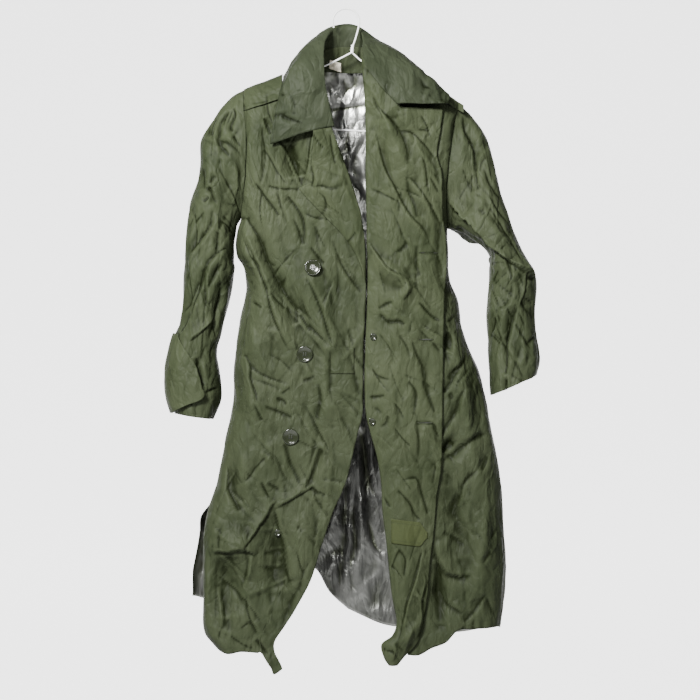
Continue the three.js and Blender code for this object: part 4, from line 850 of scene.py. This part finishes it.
def laid_on(tree, xs, zs, lift):
    """A grid of points laid over a piece of cloth, at a height above it."""
    points = np.zeros(xs.shape + (3,))
    last = -FRONT_DEPTH
    for place in np.ndindex(xs.shape):
        hit = seat(tree, xs[place], zs[place])
        last = last if hit is None else hit
        points[place] = (xs[place], last, zs[place])
    for _ in range(2):
        points[..., 1] = np.minimum(points[..., 1], around(points[..., 1]))
    points[..., 1] -= lift
    return points


# Materials
def shader(name):
    material = bpy.data.materials.new(name)
    material.use_nodes = True
    return material, material.node_tree, material.node_tree.nodes["Principled BSDF"]


def fill(made, **inputs):
    """Sets inputs of a shader node, by name or by number after an underscore, to values or other outputs."""
    for name, value in inputs.items():
        slot = made.inputs[int(name[1:]) if name[0] == "_" else name.replace("_", " ")]
        if isinstance(value, bpy.types.NodeSocket):
            made.id_data.links.new(value, slot)
        else:
            slot.default_value = value
    return made


def node(tree, kind, operation=None, **inputs):
    made = tree.nodes.new(kind)
    if operation:
        made.operation = operation
    return fill(made, **inputs)


def maths(tree, operation, *values):
    return node(tree, "ShaderNodeMath", operation, **{f"_{i}": v for i, v in enumerate(values)}).outputs[0]


def ramp(tree, value, dark, light, low=0.0, high=1.0):
    made = node(tree, "ShaderNodeValToRGB", Fac=value)
    stops = made.color_ramp.elements
    stops[0].position, stops[1].position = low, high
    stops[0].color, stops[1].color = (*dark, 1), (*light, 1)
    return made.outputs["Color"]


def blend(tree, share, colour, other):
    made = tree.nodes.new("ShaderNodeMix")
    made.data_type = "RGBA"
    return fill(made, Factor=share, _6=colour, _7=(*other, 1)).outputs[2]


def attribute(tree, label):
    made = tree.nodes.new("ShaderNodeAttribute")
    made.attribute_name = label
    return made.outputs["Fac"]


def share_of(tree, value, low, high, most):
    """From 0 to most as a value goes from low to high."""
    made = node(tree, "ShaderNodeMapRange", Value=value, From_Min=low, From_Max=high, To_Max=most)
    return made.outputs["Result"]


# Crinkles: turn of their grain in degrees, how many to a metre, and height as a share
CRINKLES = ((28, 15, 1.0), (-38, 24, -.8), (66, 44, .45))
CRINKLE_STRAY = .09
CRINKLE_WIDE = .11
CRINKLE_DEEP = .022
# Painted shade in hollows and creases, painted highlight on ridges: sign of the bend, tint and its greatest
# share
CREASE_SHADE_AND_RIDGE_HIGHLIGHT = ((1, (.2, .23, .12), .95), (-1, (1.4, 1.4, 1.4), .4))
# Shade low down, where the coat hangs away from the light: heights between which it comes in
FADE_FROM, FADE_TO = -.3, -.95
# Stitching: distance from the hem, half width, turns of the dashes in a metre and colour
STITCH_IN, STITCH_HALF, STITCH_TURNS = .0065, .0006, 2200
STITCH_COLOUR = (.02, .026, .012)


def cloth_material(name, dark, light, roughness, metallic, crinkle, specular=.5,
                   stitch=0.0, drawn=.48, painted_low_shade=0.0):
    """Coated nylon: mottled colour, crinkles drawn out along the cloth at three sizes, painted shade in
    creases, painted highlight on ridges, painted shade towards the bottom if asked, and stitching.
    """
    material, tree, body = shader(name)
    place = node(tree, "ShaderNodeTexCoord").outputs["Object"]
    mottle = node(tree, "ShaderNodeTexNoise", Vector=place, Scale=9, Detail=4, Roughness=.6)
    colour = ramp(tree, mottle.outputs["Fac"], dark, light, .3, .72)
    warp = node(tree, "ShaderNodeTexNoise", Vector=place, Scale=6, Detail=2).outputs["Color"]
    height = 0
    for turn, scale, share in CRINKLES:
        stretch = node(tree, "ShaderNodeMapping", Vector=place, Rotation=(0, math.radians(turn), 0),
                       Scale=(1, .6, drawn))
        moved = node(tree, "ShaderNodeVectorMath", "MULTIPLY_ADD", _0=warp, _1=(CRINKLE_STRAY,) * 3,
                     _2=stretch.outputs["Vector"])
        noise = node(tree, "ShaderNodeTexNoise", Vector=moved.outputs["Vector"], Scale=scale, Detail=2.5,
                     Roughness=.5)
        fold = maths(tree, "ABSOLUTE", maths(tree, "SUBTRACT", noise.outputs["Fac"], .5))
        height = maths(tree, "MULTIPLY_ADD", maths(tree, "MINIMUM", fold, CRINKLE_WIDE), share, height)
    bump = node(tree, "ShaderNodeBump", Height=height, Strength=crinkle, Distance=CRINKLE_DEEP)
    # Painted shade in hollows and creases, and painted highlight on ridges, from the bend attribute
    bend = attribute(tree, "bend")
    for sign, tint, most in CREASE_SHADE_AND_RIDGE_HIGHLIGHT:
        middle = [(a + b) / 2 * tone for a, b, tone in zip(dark, light, tint)]
        colour = blend(tree, share_of(tree, bend, 0, sign, most), colour, middle)
    # Painted shade: the colour darkens towards the bottom of the coat
    if painted_low_shade:
        height_of = node(tree, "ShaderNodeSeparateXYZ", Vector=place).outputs["Z"]
        low = share_of(tree, height_of, FADE_FROM, FADE_TO, painted_low_shade)
        colour = blend(tree, low, colour, [c * .5 for c in dark])
    if stitch:
        colour = stitching(tree, colour, stitch)
    fill(body, Normal=bump.outputs["Normal"], Base_Color=colour, Roughness=roughness, Metallic=metallic,
         Specular_IOR_Level=specular)
    return material


def stitching(tree, colour, strength):
    """Darkens a dashed line of thread a little way in from the hems."""
    off = maths(tree, "ABSOLUTE", maths(tree, "SUBTRACT", attribute(tree, "hem"), STITCH_IN))
    line = maths(tree, "LESS_THAN", off, STITCH_HALF)
    wave = maths(tree, "SINE", maths(tree, "MULTIPLY", attribute(tree, "run"), STITCH_TURNS))
    dashed = maths(tree, "MULTIPLY", line, maths(tree, "GREATER_THAN", wave, -.5))
    return blend(tree, maths(tree, "MULTIPLY", dashed, strength), colour, STITCH_COLOUR)


def plain_material(name, colour, roughness, coat=0.0, grain=0.0, grain_scale=300):
    material, tree, body = shader(name)
    place = node(tree, "ShaderNodeTexCoord").outputs["Object"]
    noise = node(tree, "ShaderNodeTexNoise", Vector=place, Scale=grain_scale, Detail=3).outputs["Fac"]
    bump = node(tree, "ShaderNodeBump", Height=noise, Strength=grain, Distance=.0006)
    speckled = ramp(tree, noise, [c * .88 for c in colour], [min(c * 1.06, 1) for c in colour])
    fill(body, Normal=bump.outputs["Normal"], Base_Color=speckled, Roughness=roughness, Coat_Weight=coat)
    return material


olive = cloth_material("olive_nylon", (.0175, .0227, .0108), (.0342, .0412, .0222), .56, 0, .8, .06,
                       stitch=.75, painted_low_shade=.18)
collar_green = cloth_material("collar_nylon", (.0145, .0188, .0098), (.0275, .033, .0195), .56, 0, .7, .06,
                              stitch=.75)
facing_green = cloth_material("facing_nylon", (.0188, .0243, .0114), (.0366, .044, .0234), .56, 0, .75, .06,
                              stitch=.75, painted_low_shade=.14)
tab_green = cloth_material("tab_nylon", (.0205, .0262, .0098), (.0355, .0425, .018), .6, 0, .3, .05,
                           stitch=.75)
dark_olive = cloth_material("olive_inside", (.006, .009, .0035), (.011, .016, .006), .6, 0, .4, .05)
silver = cloth_material("silver_coating", (.085, .087, .08), (.35, .355, .333), .32, .8, .42,
                        drawn=.4, painted_low_shade=.42)
button_plastic = plain_material("button_plastic", (.012, .015, .007), .16)
thread = plain_material("button_thread", (.03, .035, .02), .8)
# Near-black: painted shade at the bottom of button holes and inside buttonholes
hole_shade = plain_material("button_hole_shade", (.006, .007, .005), .8)
wire_white = plain_material("white_wire", (.82, .82, .8), .35, coat=.3, grain=.1)
label_cloth = plain_material("label_tape", (.74, .69, .55), .85, grain=.5, grain_scale=900)

# Fronts, backs and sleeves
points = right_front()
cloth("front_right_cloth", points, -1, olive, silver, crumple(points) * CRUMPLED["front"],
      stitched=("end", "bottom"))
points = left_front()
x, z = points[..., 0], points[..., 2]
covered = smooth((x - 20) / 30) * smooth((facing_edge(z) + 6 - x) / 12)
cloth("front_left_cloth", points, 1, olive, silver, crumple(points) * CRUMPLED["front"] * (1 - covered),
      stitched=("bottom",))
points = facing_grid()
cloth("facing_left_cloth", points, -1, facing_green, olive, crumple(points) * CRUMPLED["facing"],
      stitched=("start", "end", "top"))
points = lapel_grid()
creased = crease_rise(LAPEL_CREASES, points[..., 0], points[..., 2]) * LAPEL_CREASED
cloth("lapel_right_cloth", points, 1, facing_green, olive, crumple(points) * CRUMPLED["lapel"] + creased,
      stitched=("end", "top"))
right_half = back_half(back_right_side, SHOULDER_RIGHT, BACK_RIGHT_HEM, back_right_y)
left_half = back_half(back_left_side, SHOULDER_LEFT, BACK_LEFT_HEM, back_left_y)
points = np.concatenate([right_half, left_half[:, ::-1][:, 1:]], axis=1)
cloth("back_cloth", points, 1, olive, silver, crumple(points) * CRUMPLED["back"], stitched=("bottom",))

# Creases of a sleeve's hidden side: how much lower and less high than those of its front
HIDDEN_LOWER = 24
HIDDEN_RISE = .8


def sleeve(name, rows, turn, front_creases):
    points = sleeve_grid(rows)
    toward = normals(points, True)[..., 1] * turn * 1.6
    x, z = points[..., 0], points[..., 2]
    back_creases = [(tuple((px, pz - HIDDEN_LOWER) for px, pz in path), half, rise * HIDDEN_RISE, -lean)
                    for path, half, rise, lean in front_creases]
    down = np.linspace(0, 1, points.shape[0])[:, None]
    creased = crease_rise(front_creases, x, z) * smooth(-toward)
    creased += crease_rise(back_creases, x, z) * smooth(toward)
    relief = (creased * SLEEVE_CREASED + crumple(points) * CRUMPLED["sleeve"]) * smooth(down * 14)
    cloth(name, points, turn, olive, dark_olive, relief, closed=True, stitched=("bottom",))


sleeve("sleeve_right_cloth", SLEEVE_RIGHT, -1, SLEEVE_RIGHT_CREASES + strewn("sleeve_right"))
sleeve("sleeve_left_cloth", SLEEVE_LEFT, 1, SLEEVE_LEFT_CREASES + strewn("sleeve_left"))

points = collar_grid()
down = np.linspace(0, 1, points.shape[0])[:, None]
creased = crease_rise(COLLAR_CREASES + strewn("collar"), points[..., 0], points[..., 2])
creased *= smooth(down * 3 - 1.2)
cloth("collar_cloth", points, 1, collar_green, olive,
      crumple(points) * CRUMPLED["collar"] * smooth(down * 3) + creased * COLLAR_CREASED,
      stitched=("start", "end", "bottom"))

# Neck facing inside the back of the collar, and the blank label sewn to it: rows of the collar's table
# between which it lies, the place it faces, and its top and height as shares of the way from seam to roll
NECK_START, NECK_END = 5.2, 8.05
NECK_MIDDLE = np.array((8, -10))
NECK_TOP, NECK_HIGH = .52, .68


def neck_facing_grid(across, down, start, end, top, bottom, inset, low_inset, slant=0.0):
    u, v = grid(across, down)
    k = mix(start, end, u)
    height = mix(top, bottom, v) - slant * (u - .5)
    p = mix(collar_line("seam", k), collar_line("roll", k), height[..., None])
    toward = NECK_MIDDLE - p[..., :2]
    toward /= np.linalg.norm(toward, axis=-1, keepdims=True)
    p[..., :2] += toward * mix(inset, low_inset, clamp((NECK_TOP - height) / NECK_HIGH))[..., None]
    return p


points = neck_facing_grid(60, 26, NECK_START, NECK_END, NECK_TOP, -.16, 4.5, 9.5)
cloth("neck_facing_cloth", points, -1, olive, olive, crumple(points) * CRUMPLED["neck"], stitched=("bottom",))
label_ends = (mix(NECK_START, NECK_END, share) for share in (.2, .44))
cloth("label_tape", neck_facing_grid(16, 10, *label_ends, .14, -.1, 7.0, 12.0, slant=.1), -1,
      label_cloth, label_cloth, thick=.5)

# Small cloth pieces laid on the coat
trees = {name: tree_of(name) for name in ("front_right_cloth", "facing_left_cloth")}
LOOP_RISE = 11
LOOP_CLEAR = 4.5


def strip_xs(across, down, corners):
    """x and z of a four-cornered strip: start top, end top, end bottom, start bottom."""
    u, v = grid(across, down)
    a, b, c, d = (np.array(corner, float) for corner in corners)
    return np.moveaxis(mix(mix(a, b, u[..., None]), mix(d, c, u[..., None]), v[..., None]), -1, 0)


def shoulder_loop(name, turn, x0, x1, out, inside, depth_at, drop=0):
    """A strip that stands above the shoulder line and lies on the front at its lower edge."""
    top = lambda x: float(shoulder_z(x)) + LOOP_RISE - 1
    xs, zs = strip_xs(34, 26, ((x0, top(x0) - drop), (x1, top(x1)), (x1, inside), (x0, out)))
    lifted = np.linspace(1, 0, len(xs))[:, None] ** .8
    points = np.stack([xs, depth_at(xs, zs - LOOP_RISE * lifted) - LOOP_CLEAR, zs], axis=-1)
    cloth(name, points, turn, olive, olive, crumple(points) * CRUMPLED["loop"], stitched=("bottom", "start"))


shoulder_loop("shoulder_loop_right_cloth", -1, -189, -118, -194, -171, right_y)
shoulder_loop("shoulder_loop_left_cloth", 1, 217, 178, -197, -172, left_y, drop=10)

xs, zs = strip_xs(22, 24, ((-28, -630), (15, -630), (15, -678), (-28, -678)))
cloth("edge_patch_right_cloth", laid_on(trees["front_right_cloth"], xs, zs, 1.4), -1, olive, olive,
      stitched=("start", "end", "top", "bottom"))

# Tab: ends, middle height, slant, half width, share of its length where the point starts, how much it narrows
TAB = dict(x0=83, x1=150, z=-966.5, slant=8, half=22.5, point=.76, narrow=.75)
u, v = grid(34, 22)
half = TAB["half"] * (1 - TAB["narrow"] * smooth((u - TAB["point"]) / (1 - TAB["point"])))
xs, zs = mix(TAB["x0"], TAB["x1"], u), TAB["z"] - TAB["slant"] * u + half * (1 - 2 * v)
cloth("facing_tab_left_cloth", laid_on(trees["facing_left_cloth"], xs, zs, 1.6), -1, tab_green, olive,
      stitched=("end", "top", "bottom"))

# Turned-open cuff: how far round the sleeve it reaches, in degrees, at rows of the sleeve's table
CUFF_FLAP = table("section reach", (9.7, 40), (10.5, 80), (11, 94), (11.6, 102), (12.3, 106), (12.9, 110),
                  (13.4, 78), (13.95, 25))
CUFF_FROM = -25
CUFF_CLEAR, CUFF_FLARE = 5.2, 4


def cuff_flap_grid():
    u, v = grid(50, 54)
    k = v * (len(CUFF_FLAP["section"]) - 1)
    section, reach = by_row(CUFF_FLAP, "section")(k), by_row(CUFF_FLAP, "reach")(k)
    x, y, z, _, read = sleeve_section(SLEEVE_RIGHT, section, mix(CUFF_FROM, reach, u))
    away = np.stack([x - (read["inX"] + read["outX"]) / 2, y - read["y"]], axis=-1)
    away *= ((CUFF_CLEAR + CUFF_FLARE * v) / np.linalg.norm(away, axis=-1))[..., None]
    return np.stack([x + away[..., 0], y + away[..., 1], z], axis=-1)


points = cuff_flap_grid()
cloth("cuff_flap_right_cloth", points, -1, facing_green, olive, crumple(points) * CRUMPLED["flap"],
      stitched=("end", "bottom"))


# Buttons and buttonholes
def turned(profile, sides):
    """A closed solid turned round its own axis from a profile of radius and height."""
    angle = np.linspace(0, 2 * np.pi, sides, endpoint=False)
    points = [(r * np.cos(a), r * np.sin(a), h) for r, h in profile for a in angle]
    last = (len(profile) - 1) * sides
    faces = [(i + j, i + (j + 1) % sides, i + sides + (j + 1) % sides, i + sides + j)
             for i in range(0, last, sides) for j in range(sides)]
    return points, faces + [tuple(reversed(range(sides))), tuple(last + j for j in range(sides))]


def joined(name, parts, materials):
    """One object from parts of points, faces, material number and an offset."""
    points, faces, kinds = [], [], []
    for part_points, part_faces, kind, offset in parts:
        base = len(points)
        points += [tuple((np.array(p) + offset) * MM) for p in part_points]
        faces += [tuple(base + i for i in face) for face in part_faces]
        kinds += [kind] * len(part_faces)
    mesh = bpy.data.meshes.new(name)
    mesh.from_pydata(points, [], faces)
    mesh.polygons.foreach_set("material_index", kinds)
    mesh.polygons.foreach_set("use_smooth", [len(face) == 4 for face in faces])
    mesh.update()
    return new_object(name, mesh, materials)


BIG_BUTTON = dict(radius=15, thick=3.2, rim=2.6, hole=1.5, offset=3.1)
SMALL_BUTTON = dict(radius=6.2, thick=2.4, rim=1.1, hole=.7, offset=1.5)


def button(name, size, x, z, tree, lift, tip):
    """A turned button with a sunk middle, four holes with dark floors as painted shade, and two bars of
    thread, which faces forward.
    """
    r, t, rim = size["radius"], size["thick"], size["rim"]
    floor = t * .55
    profile = [(r * .9, 0), (r, t * .35), (r, t * .7), (r - rim * .3, t), (r - rim * .75, t),
               (r - rim * 1.3, t * .62), (r * .3, floor), (.01, floor)]
    parts = [(*turned(profile, 48), 0, (0, 0, 0))]
    o = size["offset"] / math.sqrt(2)
    cup = turned([(size["hole"], 0), (size["hole"], .12), (.01, .12)], 16)
    parts += [(*cup, 1, (sx * o, sy * o, floor)) for sx in (-1, 1) for sy in (-1, 1)]
    bar_points, bar_faces = turned([(.35, -o), (.35, o), (.01, o)], 8)
    for sx in (-1, 1):
        lying = [(p[0] + sx * o, p[2], p[1] + floor + .3) for p in bar_points]
        parts.append((lying, bar_faces, 2, (0, 0, 0)))
    made = joined(name, parts, (button_plastic, hole_shade, thread))
    made.rotation_mode = "QUATERNION"
    made.rotation_quaternion = Vector((0, 0, 1)).rotation_difference(Vector((.01, -1, tip)).normalized())
    made.location = (x * MM, (seat(tree, x, z) - lift) * MM, z * MM)
    bpy.context.view_layer.update()
    made.data.transform(made.matrix_world)
    made.matrix_world.identity()
    return made


# Buttons: node, size, place, the cloth below, lift off it, and how much the face tips up
BUTTONS = (
    ("front_button_1", BIG_BUTTON, -61, -483, "front_right_cloth", 2.4, .122),
    ("front_button_2", BIG_BUTTON, -76, -642, "front_right_cloth", 1.8, -.1),
    ("front_button_3", BIG_BUTTON, -102, -794, "front_right_cloth", 1.8, -.1),
    ("front_button_4", SMALL_BUTTON, -126, -971, "front_right_cloth", 1.2, 0),
    ("facing_button_1", SMALL_BUTTON, 50, -610, "facing_left_cloth", 1.2, 0),
    ("facing_button_2", SMALL_BUTTON, 48, -766, "facing_left_cloth", 1.2, 0),
)
button_pieces = [(button(f"{name}_fine", size, x, z, trees[on], lift, tip), name)
                 for name, size, x, z, on, lift, tip in BUTTONS]

BINDING = .8
SLIT_HALF = 1.5


def buttonhole(x0, x1, z, tree, sides=48, around_it=8):
    """A slit bound with thread: a ring of it, and a dark sheet inside as painted shade of the gap."""
    ring, gap = [], []
    for a in (2 * math.pi * k / sides for k in range(sides)):
        x = (x0 + x1) / 2 + (x1 - x0) / 2 * math.cos(a)
        over = z + SLIT_HALF * math.sin(a)
        depth = seat(tree, x, z) - .5
        gap.append((x, depth, over))
        for b in (2 * math.pi * j / around_it for j in range(around_it)):
            out = BINDING * math.cos(b)
            ring.append((x + out * math.cos(a), depth - BINDING * math.sin(b), over + out * math.sin(a)))
    corner = lambda k, j: k % sides * around_it + j % around_it
    faces = [(corner(k, j), corner(k + 1, j), corner(k + 1, j + 1), corner(k, j + 1))
             for k in range(sides) for j in range(around_it)]
    return [(ring, faces, 0, (0, 0, 0)), (gap, [tuple(range(sides))], 1, (0, 0, 0))]


HOLES = ((133, 169, -456), (133, 160, -615), (130, 158, -768))
hole_parts = [part for x0, x1, z in HOLES for part in buttonhole(x0, x1, z, trees["facing_left_cloth"])]
piece_holes = joined("buttonholes_left", hole_parts, (facing_green, hole_shade))

# Finishes on the CAD nodes that are shown
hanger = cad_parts["hanger"]
hanger.data.materials.clear()
hanger.data.materials.append(wire_white)

# What each piece stands for
STANDS_FOR = dict(
    front_right_cloth=("front_right",), front_left_cloth=("front_left",), facing_left_cloth=("facing_left",),
    lapel_right_cloth=("lapel_right",), back_cloth=("back_right", "back_left"),
    sleeve_right_cloth=("sleeve_outer_right", "sleeve_inner_right"),
    sleeve_left_cloth=("sleeve_outer_left", "sleeve_inner_left"),
    collar_cloth=("collar",), neck_facing_cloth=("neck_facing",), label_tape=("label",),
    shoulder_loop_right_cloth=("shoulder_loop_right",), shoulder_loop_left_cloth=("shoulder_loop_left",),
    edge_patch_right_cloth=("edge_patch_right",), facing_tab_left_cloth=("facing_tab_left",),
    cuff_flap_right_cloth=("cuff_flap_right",))
for title, names in STANDS_FOR.items():
    piece, p = bpy.data.objects[title], SURFACES[title]
    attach(piece, "root")
    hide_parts(*names)
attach(piece_holes, "root")
for piece, name in button_pieces:
    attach(piece, "root")
    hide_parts(name)

# Backdrop, lights and camera
CENTRE = Vector((.0074, 0, -.6345))


def backdrop():
    """A pale floor and a glowing wall joined by a bend, in metres."""
    floor_z, wall_y, bend, half, top = -2.3, 5.2, .8, 4.6, 2.6
    profile = [(-6, floor_z), (wall_y - bend, floor_z)]
    for k in range(1, 9):
        turn = math.pi / 2 * k / 8
        profile.append((wall_y - bend + bend * math.sin(turn), floor_z + bend - bend * math.cos(turn)))
    profile.append((wall_y, top))
    points = [(x, y, z) for y, z in profile for x in (-half, half)]
    faces = [(2 * k, 2 * k + 1, 2 * k + 3, 2 * k + 2) for k in range(len(profile) - 1)]
    mesh = bpy.data.meshes.new("backdrop")
    mesh.from_pydata(points, [], faces)
    mesh.polygons.foreach_set("use_smooth", [True] * len(faces))
    mesh.polygons.foreach_set("material_index", [1] + [0] * (len(faces) - 1))
    return new_object("backdrop", mesh, (backdrop_white, floor_white))


backdrop_white = plain_material("backdrop_white", (.9, .9, .9), .9)
floor_white = plain_material("floor_white", (.8, .8, .8), .9)
fill(backdrop_white.node_tree.nodes["Principled BSDF"], Emission_Color=(1, 1, 1, 1), Emission_Strength=2.3)
backdrop()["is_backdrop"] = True


def area_light(name, place, size, watts):
    light = bpy.data.lights.new(name, "AREA")
    light.size, light.energy = size, watts
    lamp = bpy.data.objects.new(name, light)
    bpy.context.collection.objects.link(lamp)
    lamp.location = place
    lamp.rotation_euler = (CENTRE - Vector(place)).to_track_quat("-Z", "Y").to_euler()


area_light("key", (-1.2, -2.7, 1.1), .7, 465)
area_light("fill", (2.4, -2.0, .3), 1.4, 14)
area_light("front", (-.06, -3.93, .62), .45, 30)
world = bpy.data.worlds.new("studio")
bpy.context.scene.world = world
world.use_nodes = True
fill(world.node_tree.nodes["Background"], Color=(1, 1, 1, 1), Strength=.27)

# Camera: distance, width of the picture and the plane in which that width is measured, in metres
DISTANCE = 4.3
FRAME_WIDE = 1.295
PICTURE_PLANE_Y = -.03
camera_data = bpy.data.cameras.new("camera")
camera_data.sensor_width = 36
camera_data.lens = 36 * (DISTANCE + PICTURE_PLANE_Y) / FRAME_WIDE
camera = bpy.data.objects.new("camera", camera_data)
bpy.context.collection.objects.link(camera)
camera.location = (CENTRE.x, -DISTANCE, CENTRE.z)
camera.rotation_euler = (math.radians(90), 0, 0)
bpy.context.scene.camera = camera

bounds_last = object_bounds()
plain = lambda box: [[float(value) for value in corner] for corner in box]
{"cad": plain(bounds_first), "all": plain(bounds_last)}
